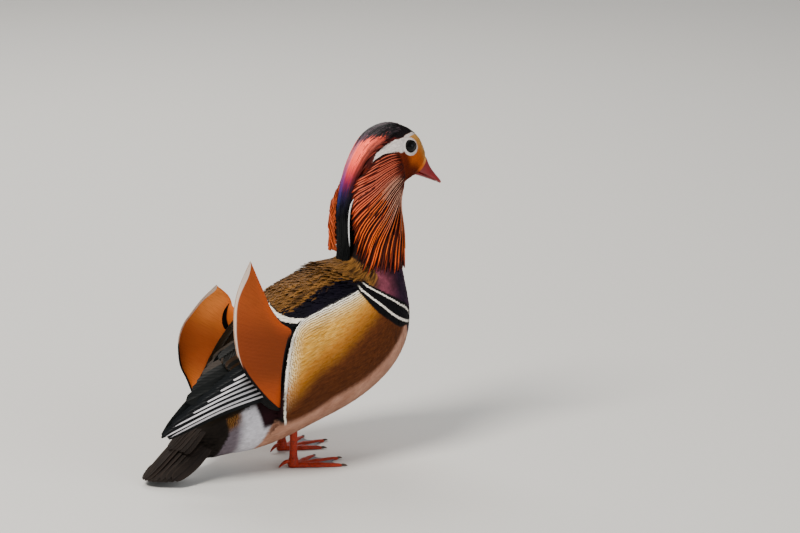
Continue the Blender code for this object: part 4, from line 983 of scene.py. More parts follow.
def neck_radii():
    """The skin's distance from the neck's axis, for each 2 degrees round it and each millimetre of height."""
    t, a = np.meshgrid(np.linspace(7, LAST, 700), np.linspace(0, 180, 700))
    spots = plain_body(t.ravel(), a.ravel())
    off = spots[:, :2] - [NECK_AXIS_X, 0]
    azimuth = np.degrees(np.arctan2(np.abs(off[:, 1]), off[:, 0]))
    level = np.clip(np.round(spots[:, 2] - RADII_FROM_Z).astype(int), 0, RADII_LEVELS - 1)
    table = np.zeros((91, RADII_LEVELS))
    np.maximum.at(table, (np.round(azimuth / 2).astype(int), level), np.linalg.norm(off, axis=1))
    return table


RADII_FROM_Z = 150
RADII_LEVELS = 143


def ruff_radius(table, azimuth, z, side):
    """How far the ruff's outer face stands from the neck's axis."""
    column = np.clip(np.round(azimuth / 2).astype(int), 0, 90)
    skin = table[column, np.clip(np.round(z - RADII_FROM_Z).astype(int), 0, RADII_LEVELS - 1)]
    loose = np.interp(azimuth, [p[0] for p in RUFF_TIP_RADII], [p[1] for p in RUFF_TIP_RADII])
    close = lerp(3.4, 1.4, smooth((azimuth - 30) / 50))
    from_z = lerp(190, 232 if side < 0 else 214, smooth((azimuth - 80) / 60))
    return lerp(np.maximum(loose, skin + 1), skin + close, smooth((z - from_z) / 50))


# Count, inset, latest root, first and last tip, half width, shade and how far the shaft shows.
RUFF_TIERS = [
    (50, -1.2, 0.1, 0.94, 1.0, 1.9, 0.5, 0.0), (46, -0.5, 0.1, 0.84, 1.0, 1.75, 0.66, 0.0),
    (34, 0.3, 0.05, 0.88, 1.0, 1.5, 0.95, 1.0), (30, 0.9, 0.03, 0.6, 0.94, 1.25, 1.05, 1.0),
]
RUFF_STEPS = 12


def make_ruff(rng):
    """Hackles that fan from the cheeks down and back over the neck, longest underneath."""
    look = Look("ruff_hackles")
    where = look.coordinates()
    vane, off, barbs = feather_relief(look)
    tint = look.attribute("tint", "Color")
    # Each hackle darkens towards its sides: partly its own dark edge, partly painted shade in the gaps
    # between hackles.
    dark_edge_and_shade = look.mix(1.0, tint, (0.42, 0.34, 0.36), "MULTIPLY")
    colour = look.mix(look.step(off, 0.3, 0.75), tint, dark_edge_and_shade)
    pale = look.split(look.attribute("lay"))[2]
    streak = look.times(look.step(off, 0.36, 0.2), look.band(vane[0], 0.2, 0.94, 0.06))
    streak = look.times(streak, look.step(pale, 0.2, 0.45))
    shaft_colour = look.mix(look.step(vane[0], 0.35, 0.75), (0.93, 0.70, 0.58), (0.95, 0.42, 0.10))
    shaft_colour = look.mix(look.step(pale, 0.5, 1.0), (0.86, 0.42, 0.30), shaft_colour)
    colour = look.mix(look.times(streak, 0.85), colour, shaft_colour)
    normal = look.bump(look.plus(look.times(barbs, 0.4), look.noise(where, 1500, 2)), 0.00008, 0.5)
    material = look.finish(colour, 0.55, normal, specular=0.12)
    table = neck_radii()
    guides = np.array(RUFF_GUIDES, float)
    down = np.linspace(0, 1, RUFF_STEPS)
    full = np.interp(down, [0, 0.2, 0.55, 0.88, 1], [0.2, 0.45, 1.0, 0.8, 0.08])
    slender = np.interp(down, [0, 0.2, 0.55, 0.9, 1], [0.2, 0.3, 0.68, 0.92, 0.1])
    parts = []
    for side, word in ((-1, "right"), (1, "left")):
        paths, ups, widths, lays, tints, luck = [], [], [], [], [], []
        for count, inset, latest_root, first_tip, last_tip, half_width, shade, shown in RUFF_TIERS:
            count = count if side < 0 or shown else count * 2
            g = np.clip((np.arange(count) + rng.uniform(0.3, 0.7, count)) / count, 0, 1)
            control = np.stack([curve(guides[:, k], g) for k in range(guides.shape[1])], 1)
            root = rng.uniform(0, latest_root, count)
            tip = rng.uniform(first_tip, last_tip, count)
            if side > 0:
                control[..., 0] += LEFT_WRAP * smooth((control[..., 0] - 100) / 50)
                whole = np.stack([curve(control[i], np.linspace(0, 1, 60)) for i in range(count)])
                foot = lerp(150, LEFT_FOOT_Z, smooth((whole[..., 0] - 85) / 35))
                above = (whole[..., 1] > foot).mean(1)
                tip = np.minimum(tip, above * rng.uniform(0.98, 1.0, count))
            along = root[:, None] + (tip - root)[:, None] * down[None]
            way = np.stack([curve(control[i], along[i]) for i in range(count)])
            azimuth, z = way[..., 0], way[..., 1]
            radius = ruff_radius(table, azimuth, z, side)
            radius[:, 1:-1] = (radius[:, 1:-1] + radius[:, :-2] + radius[:, 2:]) / 3
            radius = radius + inset * smooth(along / 0.5) + rng.uniform(-0.3, 0.3, count)[:, None]
            radius = radius - 2.2 * (1 - smooth(down[None] / 0.14))
            if side > 0:
                flare = smooth((azimuth - 108) / 32) * (1 - 0.85 * smooth((azimuth - 148) / 18))
                radius = radius + LEFT_FLARE * flare * smooth((FLARE_TOP_Z - z) / 33)
            path = round_neck(azimuth, radius, z, side)
            up = path - [NECK_AXIS_X, 0, 0]
            up[..., 2] = 0
            chance = rng.uniform(0, 1, count)
            paths.append(turned(path))
            ups.append(unit(up))
            shape = slender if shown else full
            widths.append(half_width * shape[None] * rng.uniform(0.85, 1.1, count)[:, None])
            lays.append(np.stack([17 - 0.045 * (268 - z) * 2, side * azimuth], -1))
            # Painted light: the left ruff's rear, seen from its shaded inner side, is painted bright orange
            # as if lit from behind.
            glow = smooth((azimuth - 105) / 40) * (0.7 if side > 0 else 0.0)
            tints.append(hackle_colour(g[:, None] + 0 * along, along, chance, glow, shade))
            luck.append(shown * (0.5 + 0.5 * smooth((g - 0.22) / 0.25)))
        stack = np.concatenate
        obj = blades(
            "ruff_" + word, stack(paths), stack(ups), stack(widths), 0.5, LOCK, material,
            stack(lays), stack(luck), stack(tints),
        )
        parts.append(finished(obj, "neck_plumage"))
    return parts


def hackle_colour(across, along, chance, glow, shade):
    """Chestnut in front, rusty red behind, orange at the tips. across runs from the brow to the throat. glow
    paints the left ruff's rear bright orange as painted light from behind.
    """
    root = np.array([0.38, 0.12, 0.04])
    ahead = np.array([0.36, 0.075, 0.02])
    rear = np.array([0.47, 0.12, 0.05])
    tip = np.array([0.74, 0.25, 0.06])
    body = lerp(rear, ahead, smooth((across - 0.3) / 0.4)[..., None])
    colour = lerp(root, body, smooth(along / 0.35)[..., None])
    colour = lerp(colour, tip, (smooth((along - 0.5) / 0.5) * (0.15 + 0.75 * chance[:, None]))[..., None])
    colour = colour * (0.7 + 0.5 * chance[:, None, None]) * shade
    # Painted light from behind on the left ruff's rear.
    colour = lerp(colour, np.array([0.93, 0.42, 0.19]), glow[..., None])
    return linear_array(colour)


# Wings, sails and tail

RIGHT_RACHIS = [
    (-34.6, -55, 65.3), (-48.5, -56, 78.5), (-61, -56.5, 92.2), (-70.8, -56, 105.2), (-76.2, -55, 118.7),
    (-78.1, -53.5, 132.3), (-78.2, -52, 146.2), (-76.2, -50, 159.5), (-71.4, -47, 171.4),
    (-63.4, -43.5, 183.1), (-52.4, -39, 195.6),
]
RIGHT_FRONT = [
    (-31.8, -54, 64.2), (-31.8, -54.5, 77.3), (-31.6, -55, 89.8), (-29.9, -55, 102.1), (-26.5, -53.5, 113.3),
    (-21.9, -51.5, 123.3), (-18.4, -50, 132), (-28.1, -48.5, 140.1), (-35.9, -46, 152.6), (-42.3, -43, 169.7),
    (-51.7, -39, 194.9),
]
LEFT_RACHIS = [
    (-53.8, 52, 56.4), (-59, 54, 71.4), (-65.1, 54.5, 84.1), (-67.8, 53.5, 98.3), (-68.6, 51, 111.6),
    (-65.9, 48, 123.6), (-60.2, 44.5, 133.4), (-51.9, 41, 144.6), (-45.5, 38, 151.6), (-40.3, 34, 158),
]
LEFT_FRONT = [
    (-53.4, 51, 56.4), (-45.9, 52, 66.1), (-42.5, 51.5, 75.7), (-37.6, 49.5, 88.4), (-32, 46.5, 96.5),
    (-27.4, 42.5, 105.2), (-24.8, 38.5, 115.8), (-22.6, 36, 130.5), (-26.6, 34.5, 145.1), (-39.8, 34, 157.4),
]
SAIL_BULGE = 3
SAIL_ROWS = 150
SAIL_COLUMNS = 44
SAIL_HALF_THICKNESS = 0.32


def sail_sheet(side):
    """Middle points (rows, columns) of a sail, its outward side and each point's place on it."""
    rachis, front = (RIGHT_RACHIS, RIGHT_FRONT) if side < 0 else (LEFT_RACHIS, LEFT_FRONT)
    t = np.linspace(0, 1, SAIL_ROWS + 1)[:, None]
    u = np.linspace(0, 1, SAIL_COLUMNS + 1)[None]
    a = curve(rachis, t[:, 0])[:, None]
    b = curve(front, t[:, 0])[:, None]
    bulge = SAIL_BULGE * np.sin(math.pi * u**0.7) * np.sin(math.pi * np.minimum(t * 1.1, 1))
    points = lerp(a, b, u[..., None])
    points[..., 1] += side * bulge
    normal = unit(np.cross(np.gradient(points, axis=0), np.gradient(points, axis=1) + 1e-6))
    normal *= np.sign(normal[..., 1:2] * side)
    barb = np.sin((t * 74 + u * 5) * math.pi) * 0.05 * np.minimum(u * 8, 1)
    return points + normal * barb[..., None], normal, t + 0 * u, u + 0 * t


def sail_material(name, main, deep, glow):
    """Orange vane with a pale rear margin, dark edges low down, a browner middle and a bright foot."""
    look = Look(name)
    place = look.split(look.attribute("vane"))
    t, u = place[0], place[1]
    soft = look.noise(look.coordinates(), 60, 3)
    grain = look.plus(look.times(t, 150), look.times(u, 9))
    streak = look.noise(look.combine(grain, look.times(u, 3)), 1.0, 2)
    orange = look.mix(look.times(soft, 0.35), main, glow)
    orange = look.mix(look.times(look.band(t, 0.18, 0.64, 0.16), 0.75), orange, deep)
    orange = look.mix(look.times(look.step(t, 0.28, 0.05), 0.8), orange, glow)
    orange = look.mix(look.times(look.step(u, 0.6, 1.0), look.step(t, 0.5, 0.64), 0.7), orange, glow)
    orange = look.mix(look.times(look.step(streak, 0.45, 0.7), 0.3), orange, deep)
    pale_reach = look.knots(t, PALE_REACH, 1, 1)
    pale = look.step(look.minus(pale_reach, u), -0.014, 0.014)
    colour = look.mix(look.times(pale, look.step(t, 0.28, 0.34)), orange, (0.84, 0.75, 0.68))
    dark = look.times(look.step(u, 0.065, 0.04), look.step(t, 0.36, 0.3))
    foot = look.times(look.step(u, 0.955, 0.975), look.step(t, 0.6, 0.5))
    colour = look.mix(look.math("MAXIMUM", dark, foot), colour, (0.02, 0.016, 0.016))
    ridges = look.math("SINE", look.times(look.plus(look.times(t, 74), look.times(u, 5)), math.pi * 3))
    fine = look.noise(look.coordinates(), 900, 2)
    normal = look.bump(look.plus(look.times(ridges, 0.6), fine), 0.0001, 0.5)
    return look.finish(colour, 0.62, normal, specular=0.12)


PALE_REACH = [
    (0, 0.0), (0.28, 0.0), (0.34, 0.014), (0.45, 0.024), (0.6, 0.034), (0.8, 0.075), (0.92, 0.24),
    (1, 0.9),
]
# Main, deep and glow colours of each sail. The left sail's are painted lighter than the right's, as painted
# light on the far sail, which the lamps leave in shade.
SAIL_COLOURS = {
    "right": ((0.56, 0.26, 0.085), (0.42, 0.165, 0.055), (0.70, 0.28, 0.075)),
    "left": ((0.92, 0.54, 0.24), (0.70, 0.29, 0.12), (0.90, 0.44, 0.16)),
}


def closed_sheet(name, points, normal, half_thickness, material):
    """Two faces of a thin sheet over a grid of points, closed round its rim."""
    rows, columns = points.shape[:2]
    offset = normal * half_thickness[..., None]
    both = np.stack([points + offset, points - offset])
    index = np.arange(rows * columns).reshape(rows, columns)
    quads = np.stack([index[:-1, :-1], index[1:, :-1], index[1:, 1:], index[:-1, 1:]], -1).reshape(-1, 4)
    rim = np.concatenate([index[0, :], index[1:, -1], index[-1, -2::-1], index[-2:0:-1, 0]])
    after = np.roll(rim, -1)
    n = rows * columns
    edge = np.stack([rim, after, after + n, rim + n], -1)
    obj = joined(name, both, [quads, quads[:, ::-1] + n, edge], material)
    bm = bmesh.new()
    bm.from_mesh(obj.data)
    bmesh.ops.recalc_face_normals(bm, faces=bm.faces)
    bm.to_mesh(obj.data)
    bm.free()
    return obj


def make_sails():
    """The two raised sail feathers with their shafts and quills, and the small curled one between them."""
    shaft_material = tinted_material("shafts", 0.5, 0.12)
    parts = []
    for side, word in ((-1, "right"), (1, "left")):
        points, normal, t, u = sail_sheet(side)
        thin = SAIL_HALF_THICKNESS * np.clip(np.minimum(np.minimum(1 - u, 1 - t) * 12, 1), 0.3, 1)
        material = sail_material("sail_vane_" + word, *SAIL_COLOURS[word])
        obj = closed_sheet("sail_vane_" + word, points, normal, thin, material)
        vane = np.stack([t, u, np.full_like(t, 0.5)], -1).reshape(-1, 3)
        lay = np.stack([t * 3 + 4, u * 40 * side, t * 0 + 0.5], -1).reshape(-1, 3)
        set_lay(obj.data, np.concatenate([lay, lay]), np.concatenate([vane, vane]))
        parts.append(finished(obj, "sail_feathers", "sail_" + word))
        rachis = RIGHT_RACHIS if side < 0 else LEFT_RACHIS
        steps = 40
        path = curve(rachis, np.linspace(0, 1, steps))[None]
        up = np.tile([0.0, side, 0.0], (1, steps, 1))
        width = np.linspace(1.0, 0.25, steps)[None]
        tint = np.tile(linear((0.02, 0.016, 0.016)), (1, steps, 1)).astype(float)
        tint[0, steps * 2 // 5 :] = linear((0.62, 0.50, 0.42))
        lay = np.stack([np.linspace(4, 6, steps), np.full(steps, 50.0 * side)], -1)[None]
        shaft = blades(
            "sail_shaft_" + word, path, up, width, width, LOCK, shaft_material, lay, np.array([0.5]), tint
        )
        parts.append(finished(shaft, "sail_feathers"))
        quill = [path[0, 0], path[0, 0] + [5, -side * 6, 2], path[0, 0] + [8, -side * 16, 1]]
        quill = curve(quill, np.linspace(0, 1, 8))[None]
        quill_width = np.linspace(1.4, 1.6, 8)[None]
        quill = blades(
            "sail_quill_" + word, quill, np.tile([0.0, 0.0, 1.0], (1, 8, 1)), quill_width, quill_width, LOCK,
            shaft_material, lay[:, :8], np.array([0.5]), tint[:, :8],
        )
        parts.append(finished(quill, "sail_feathers"))
    parts.append(sail_lobe())
    return parts


LOBE_REAR = [(-29, 27.5, 116), (-36, 28, 119), (-38.4, 28.5, 127), (-36, 29, 135), (-30, 30, 141)]
LOBE_FRONT = [(-22, 26, 117), (-22, 26.5, 123), (-23, 27, 129), (-25, 28, 135), (-29, 30, 141)]


def sail_lobe():
    """The small orange vane with a black rear edge that curls up in front of the left sail."""
    look = Look("sail_lobe")
    u = look.split(look.attribute("vane"))[1]
    soft = look.noise(look.coordinates(), 90, 2)
    orange = look.mix(soft, (0.80, 0.36, 0.10), (0.90, 0.46, 0.16))
    colour = look.mix(look.step(u, 0.38, 0.3), orange, (0.02, 0.016, 0.016))
    material = look.finish(colour, 0.62, specular=0.12)
    t = np.linspace(0, 1, 31)[:, None]
    u = np.linspace(0, 1, 17)[None]
    points = lerp(curve(LOBE_REAR, t[:, 0])[:, None], curve(LOBE_FRONT, t[:, 0])[:, None], u[..., None])
    points[..., 1] += 1.2 * np.sin(math.pi * u) * np.sin(math.pi * t)
    normal = np.zeros_like(points)
    normal[..., 1] = 1
    obj = closed_sheet("sail_lobe", points, normal, np.full((31, 17), 0.25), material)
    vane = np.stack([t + 0 * u, u + 0 * t, 0 * t + 0 * u], -1).reshape(-1, 3)
    set_lay(obj.data, np.zeros((len(vane) * 2, 3)), np.concatenate([vane, vane]))
    return finished(obj, "sail_feathers")


PRIMARY_ROOTS = [(-38.2, -50.5, 79.3), (-58.1, -47.5, 104.6)]
PRIMARY_TIPS = [
    (-127.7, -23, 46.8), (-133, -21, 47.2), (-125, -24, 56.2), (-114.1, -27.5, 64.8), (-103.4, -31, 73.5),
    (-92.9, -34.5, 82.3), (-82.2, -38, 91),
]
WING_TOP = [
    (-60, -21, 118), (-74.3, -20, 112.1), (-86.9, -22, 93.6), (-102, -23, 81.6), (-111.6, -23, 74.1),
    (-124.8, -21, 60.5), (-131.7, -18, 49.8),
]
RUMP_PLUME = [(-46, -2, 127), (-56, 0, 113.5), (-62.3, 1, 101.8), (-66.2, 1, 92.6), (-69.3, 0, 84)]
PRIMARY_HALF_WIDTH = 5.6
WING_LAYER = 0.9


def lowered(p):
    """The left wing hangs lower than the right one, with its tips drawn in over the tail."""
    behind = np.clip((-p[..., 0] - 45) / 60, 0, 1)
    x = -38 + (p[..., 0] + 38) * 0.62
    z = 24 + (p[..., 2] - 42) * 0.54
    return np.stack([x, -p[..., 1] - 9 * behind, z], -1)


def vane_shape(steps, root=0.6, tip=0.12, fullest=0.55):
    f = np.linspace(0, 1, steps)
    rising = lerp(root, 1, np.sin(np.minimum(f / fullest, 1) * math.pi / 2))
    falling = lerp(tip, 1, np.sqrt(np.maximum(1 - np.clip((f - fullest) / (1 - fullest), 0, 1) ** 2.4, 0)))
    return np.where(f < fullest, rising, falling)


def wing_material():
    """Flight feathers: near black with green and blue gloss, the outer webs edged in silver white."""
    look = Look("wing_feathers")
    where = look.coordinates()
    vane, _, barbs = feather_relief(look)
    grain = look.combine(look.times(vane[1], 3), look.times(vane[0], 5), look.times(vane[2], 9))
    streak = look.noise(grain, 1.0, 2)
    tint = look.attribute("tint", "Color")
    colour = look.mix(look.times(look.step(streak, 0.4, 0.7), 0.5), tint, (0.03, 0.036, 0.034))
    edge = look.split(look.attribute("lay"))[2]
    inner = look.plus(0.57, look.times(look.step(vane[0], 0.88, 1.0), 0.26))
    white = look.step(look.minus(vane[1], inner), 0.0, 0.06)
    white = look.times(white, look.step(vane[1], 0.93, 0.87))
    white = look.times(white, look.step(edge, 0.4, 0.6))
    silver = look.mix(look.noise(where, 90, 2), (0.72, 0.71, 0.74), (0.90, 0.88, 0.88))
    colour = look.mix(white, colour, silver)
    shade = look.plus(0.96, look.times(barbs, 0.05))
    colour = look.shaded(colour, shade)
    return look.finish(colour, 0.5, look.bump(barbs, 0.00008, 0.5), specular=0.14)


def make_wings():
    """Folded wings: primaries, a long vane above them, tertials and coverts.

    The right wing has one more feather, which lies on the rump.
    """
    material = wing_material()
    parts = []
    steps = 16
    f = np.linspace(0, 1, steps)
    for side, word in ((-1, "right"), (1, "left")):
        paths, ups, widths, lays, tints, edges = [], [], [], [], [], []

        def add(points, up, width, colour, edge, shift=0.0):
            path = np.asarray(points)
            way = unit(np.array(up, float))
            across = unit(np.cross(unit(np.gradient(path, axis=0)), way))
            across *= np.sign(across[:, 2:3])
            path = path + across * (shift * width)[:, None]
            path = path if side < 0 else lowered(path)
            paths.append(path)
            ups.append(np.tile(way * [1, -side, 1], (steps, 1)))
            widths.append(width)
            lays.append(np.stack([lerp(3.2, 0.6, f), np.full(steps, 70.0 * side)], -1))
            tints.append(np.tile(linear(colour), (steps, 1)))
            edges.append(edge)

        low, high = np.array(PRIMARY_ROOTS, float)
        for i, tip in enumerate(PRIMARY_TIPS):
            share = i / (len(PRIMARY_TIPS) - 1)
            root = lerp(low, high, share)
            tip = np.array(tip, float)
            middle = (root + tip) / 2 + [0, -3.5, 5.0 - 3.5 * share]
            line = curve([root, middle, tip], f)
            line[:, 1] -= WING_LAYER * i * (1 - 0.35 * f)
            width = PRIMARY_HALF_WIDTH * vane_shape(steps, 0.95, 0.12, 0.3)
            add(line, (0, -1, 0.35 + 0.2 * share), width, (0.03, 0.045, 0.058), 1, 0.72)
            if i == 0:
                lowest = line + np.array([3.0, 1.2, -3.4]) * lerp(1.0, 0.5, f)[:, None]
                add(lowest, (0, -1, 0.35), width, (0.012, 0.016, 0.02), 0, 0.7)
        width = 8.5 * vane_shape(steps, 0.8, 0.1, 0.4)
        add(curve(WING_TOP, f), (0, -1, 0.5), width, (0.035, 0.048, 0.05), 0, -0.9)
        if side < 0:
            width = 6.0 * vane_shape(steps, 0.8, 0.3, 0.5)
            add(curve(RUMP_PLUME, f), (0, -1, 0.6), width, (0.13, 0.09, 0.045), 0)
        for i in range(6):
            share = i / 5
            root = np.array([-42, lerp(-46, -30, share), lerp(100, 123, share)])
            tip = np.array([lerp(-112, -76, share), lerp(-30, -14, share), lerp(78, 104, share)])
            middle = (root + tip) / 2 + [0, -3, 3]
            path = curve([root, middle, tip], f)
            path = path + np.array([0, 1.8, 0]) * (1 - share) + np.array([0, -0.7, 1.1]) * (i % 2)
            colour = (0.032, 0.042, 0.04) if i < 3 else (0.15, 0.10, 0.05)
            add(path, (0, -1, lerp(0.5, 1.4, share)), 7.6 * vane_shape(steps, 0.7, 0.14, 0.55), colour, 0)
        for i in range(6):
            share = i / 5
            root = np.array([lerp(-46, -50, share), lerp(-47, -34, share), lerp(110, 126, share)])
            tip = root + [-30, lerp(3, 4, share), lerp(-9, -15, share)]
            path = curve([root, (root + tip) / 2 + [0, -1.2, 1], tip], f)
            path[:, 1] += lerp(1.5, -1.0, share)
            colour = (0.05, 0.05, 0.04) if i % 2 else (0.17, 0.11, 0.05)
            add(path, (0, -1, lerp(0.5, 1.1, share)), 5.4 * vane_shape(steps, 0.7, 0.2, 0.55), colour, 0)
        n = len(paths)
        obj = blades(
            "wing_quills_" + word, np.stack(paths), np.stack(ups), np.stack(widths), 0.4, VANE, material,
            np.stack(lays), np.linspace(0, 1, n), np.stack(tints), flip=side,
        )
        mark_edges(obj, np.array(edges, float), steps * len(VANE))
        parts.append(finished(obj, "wing_feathers", "wing_" + word))
        parts.append(wing_core(side, word, material))
    return parts


def mark_edges(obj, edges, points_each):
    """Tells the wing's finish which feathers are edged white, in the third part of lay."""
    data = obj.data.attributes["lay"].data
    lay = np.empty(len(data) * 3, np.float32)
    data.foreach_get("vector", lay)
    lay[2::3] = np.repeat(edges, points_each)
    data.foreach_set("vector", lay)


def wing_core(side, word, material):
    """The folded hand under the coverts."""
    centre, radii = ((-43, -39, 91), (13, 10.5, 35)) if side < 0 else ((-42, 40.5, 54), (12, 10, 21))
    deselect()
    bpy.ops.mesh.primitive_uv_sphere_add(segments=40, ring_count=28, radius=1)
    obj = bpy.context.object
    obj.name = "wing_hand_" + word
    obj.scale = [r * MM * 0.96 for r in radii]
    obj.rotation_euler = (math.radians(side * 22), math.radians(-24), 0)
    obj.location = metres(centre)
    for vert in obj.data.vertices:
        x, y, z = vert.co
        vert.co = (x * (1 - 0.25 * z), y * (1 + 0.2 * x), z * (1 + 0.12 * x))
    bpy.ops.object.transform_apply(location=True, rotation=True, scale=True)
    bpy.ops.object.shade_smooth()
    obj.data.materials.append(material)
    count = len(obj.data.vertices)
    lay = np.tile([2.5, 70.0 * side, 0.0], (count, 1))
    set_lay(obj.data, lay, np.zeros((count, 3)), np.tile(linear((0.02, 0.022, 0.022)), (count, 1)))
    obj.data.uv_layers[0].name = "OFBake"
    return finished(obj, "wing_feathers")


TAIL_ROOT = (-74, 55)
TAIL_TIP = (-139.5, 1.5)
TAIL_SPREAD = 21
TAIL_DROP = 10


def tail_material():
    look = Look("tail_feathers")
    where = look.coordinates()
    vane, off, barbs = feather_relief(look)
    soft = look.noise(where, 80, 2)
    colour = look.mix(soft, (0.075, 0.056, 0.046), (0.135, 0.105, 0.088))
    colour = look.mix(look.times(look.step(off, 0.75, 1.0), 0.3), colour, (0.24, 0.20, 0.17))
    shaft = look.step(off, 0.16, 0.04)
    colour = look.mix(look.times(shaft, 0.5), colour, (0.05, 0.04, 0.03))
    shade = look.plus(look.plus(0.86, look.times(vane[2], 0.2)), look.times(barbs, 0.05))
    colour = look.shaded(colour, shade)
    return look.finish(colour, 0.65, look.bump(barbs, 0.00008, 0.5), specular=0.1)


def make_tail(rng):
    """Fourteen tail feathers in a shallow roof, with two rows of coverts over their roots."""
    material = tail_material()
    steps = 16
    f = np.linspace(0, 1, steps)
    root = np.array([TAIL_ROOT[0], 0, TAIL_ROOT[1]], float)
    tip = np.array([TAIL_TIP[0], 0, TAIL_TIP[1]], float)
    along = unit(tip - root)
    over = np.array([along[2], 0, -along[0]])
    paths, ups, widths, lays, luck = [], [], [], [], []

    def add(path, up, width, shape, a):
        paths.append(path)
        ups.append(np.tile(unit(np.array(up, float)), (steps, 1)))
        widths.append(width * shape)
        lays.append(np.stack([lerp(1.2, 0.05, f), np.full(steps, a)], -1))
        luck.append(rng.uniform(0, 1))

    for i in range(14):
        u = 2 * i / 13 - 1
        order = abs(u)
        end = lerp(tip, root, 0.27 * order**1.6) + [0, u * TAIL_SPREAD, -TAIL_DROP * order**1.5 + 2.0]
        start = root + [0, u * 15, -18 * order]
        path = curve([start, (start + end) / 2 + [0, 0, 2.0 - 5 * order], end], f)
        path = path + unit(np.array([0.5, 0, 1.0])) * (2.6 * (1 - order))
        add(path, (0.45, 0.55 * u, 0.9), lerp(7.2, 6.0, order), vane_shape(steps, 0.5, 0.1, 0.6), 30 * u)
    for reach, half_width, count, lift in ((0.55, 5.6, 9, 1.2), (0.38, 5.0, 8, 2.4)):
        for i in range(count):
            u = 2 * i / (count - 1) - 1
            start = root + [0, u * 10, 0] + over * (2.6 - 4 * u * u)
            end = lerp(root, tip, reach - 0.06 * abs(u)) + [0, u * 13, 0] + over * (lift + 3.0 - 6.5 * u * u)
            path = curve([start, (start + end) / 2 + over * 1.8, end], f)
            add(path, over + [0, 0.7 * u, 0], half_width, vane_shape(steps, 0.8, 0.2, 0.5), 30 * u)
    obj = blades(
        "tail_quills", np.stack(paths), np.stack(ups), np.stack(widths), 0.4, VANE, material, np.stack(lays),
        np.array(luck),
    )
    return [finished(obj, "tail_feathers", "tail")]


# Bill, eyes and legs

CULMEN = [
    (154, 255.2), (156.4, 249), (159.6, 243.6), (162.8, 239.4), (165.6, 236), (167.6, 233.4), (168.4, 231.6),
]
TOMIUM = [
    (142.6, 244.3), (146.4, 242.4), (150.8, 240.4), (155.2, 238.2), (159.4, 236), (163.2, 233.6),
    (166.2, 231.2),
]
UPPER_BILL_WIDTHS = [8.2, 7.4, 6.7, 6.3, 6.0, 5.2, 3.2]
LOWER_BILL_TOP = [
    (141.8, 244.0), (146, 242.25), (150.5, 240.3), (155, 238.15), (159.2, 235.9), (162.8, 233.5),
]
LOWER_BILL_DROP = [2.6, 2.5, 2.2, 1.9, 1.5, 0.8]
LOWER_BILL_WIDTHS = [7.0, 6.6, 6.0, 5.6, 5.0, 3.0]


def extruded(name, rings, material, levels=1):
    """A closed form drawn by extruding a disc through rings of equal count, then subdivided."""
    deselect()
    bpy.ops.mesh.primitive_circle_add(vertices=len(rings[0]), radius=0.01, fill_type="NGON")
    obj = bpy.context.object
    obj.name = name
    bpy.ops.object.mode_set(mode="EDIT")
    mesh = bmesh.from_edit_mesh(obj.data)
    order = mesh.verts.layers.int.new("order")
    for i, vert in enumerate(mesh.verts):
        vert[order] = i
        vert.co = metres(rings[0][i])
    bmesh.update_edit_mesh(obj.data)
    for ring in rings[1:]:
        bpy.ops.mesh.extrude_region_move()
        mesh = bmesh.from_edit_mesh(obj.data)
        order = mesh.verts.layers.int["order"]
        for vert in mesh.verts:
            if vert.select:
                vert.co = metres(ring[vert[order]])
        bmesh.update_edit_mesh(obj.data)
    bpy.ops.mesh.select_all(action="SELECT")
    bpy.ops.mesh.normals_make_consistent(inside=False)
    bpy.ops.object.mode_set(mode="OBJECT")
    if levels:
        modifier = obj.modifiers.new("round", "SUBSURF")
        modifier.levels = levels
        modifier.render_levels = levels
        bpy.ops.object.modifier_apply(modifier="round")
    bpy.ops.object.shade_smooth()
    obj.data.materials.append(material)
    return obj


def bill_material():
    look = Look("bill")
    where = look.coordinates()
    tip = look.step(look.split(where)[0], (161 + FRAME_SHIFT) * MM, (167 + FRAME_SHIFT) * MM)
    soft = look.noise(where, 160, 3)
    colour = look.mix(soft, (0.40, 0.012, 0.03), (0.56, 0.04, 0.05))
    colour = look.mix(look.times(tip, 0.5), colour, (0.70, 0.25, 0.22))
    fine = look.noise(where, 1400, 3)
    return look.finish(colour, look.plus(0.26, look.times(fine, 0.16)), look.bump(fine, 0.00006, 0.4))


def bill_ring(top, bottom, width, arch, count=20):
    a = math.pi * (np.arange(count + 1) / count - 0.5)
    rise_by = np.maximum(np.cos(a), 0) ** arch
    top = np.array([top[0], 0, top[1]], float)
    bottom = np.array([bottom[0], 0, bottom[1]], float)
    ring = bottom + (top - bottom) * rise_by[:, None]
    ring[:, 1] += width * np.sin(a)
    return turned(ring)


def make_bill():
    """Upper and lower bill."""
    material = bill_material()
    share = np.linspace(0, 1, 16)
    tops, lows = curve(CULMEN, share), curve(TOMIUM, share)
    wide = curve([(w,) for w in UPPER_BILL_WIDTHS], share)[:, 0]
    rings = [bill_ring(c, (t[0] - 0.2, t[1] - 0.4), w * 1.03, 0.8) for c, t, w in zip(tops, lows, wide)]
    ahead = rings[1].mean(0) - rings[0].mean(0)
    rings = [rings[0] - unit(ahead) * 3] + rings
    upper = extruded("bill_top", rings, material)
    share = np.linspace(0, 1, 12)
    tops = curve(LOWER_BILL_TOP, share)
    drop = curve([(d,) for d in LOWER_BILL_DROP], share)[:, 0]
    wide = curve([(w,) for w in LOWER_BILL_WIDTHS], share)[:, 0]
    rings = [
        bill_ring((x - d * 0.4, z - d), (x + 0.1, z + 0.25), w, 0.7)
        for (x, z), d, w in zip(tops, drop, wide)
    ]
    ahead = rings[1].mean(0) - rings[0].mean(0)
    rings = [rings[0] - unit(ahead) * 3] + rings
    lower = extruded("bill_bottom", rings, material)
    return [finished(upper, "bill", "bill_upper"), finished(lower, "bill", "bill_lower")]


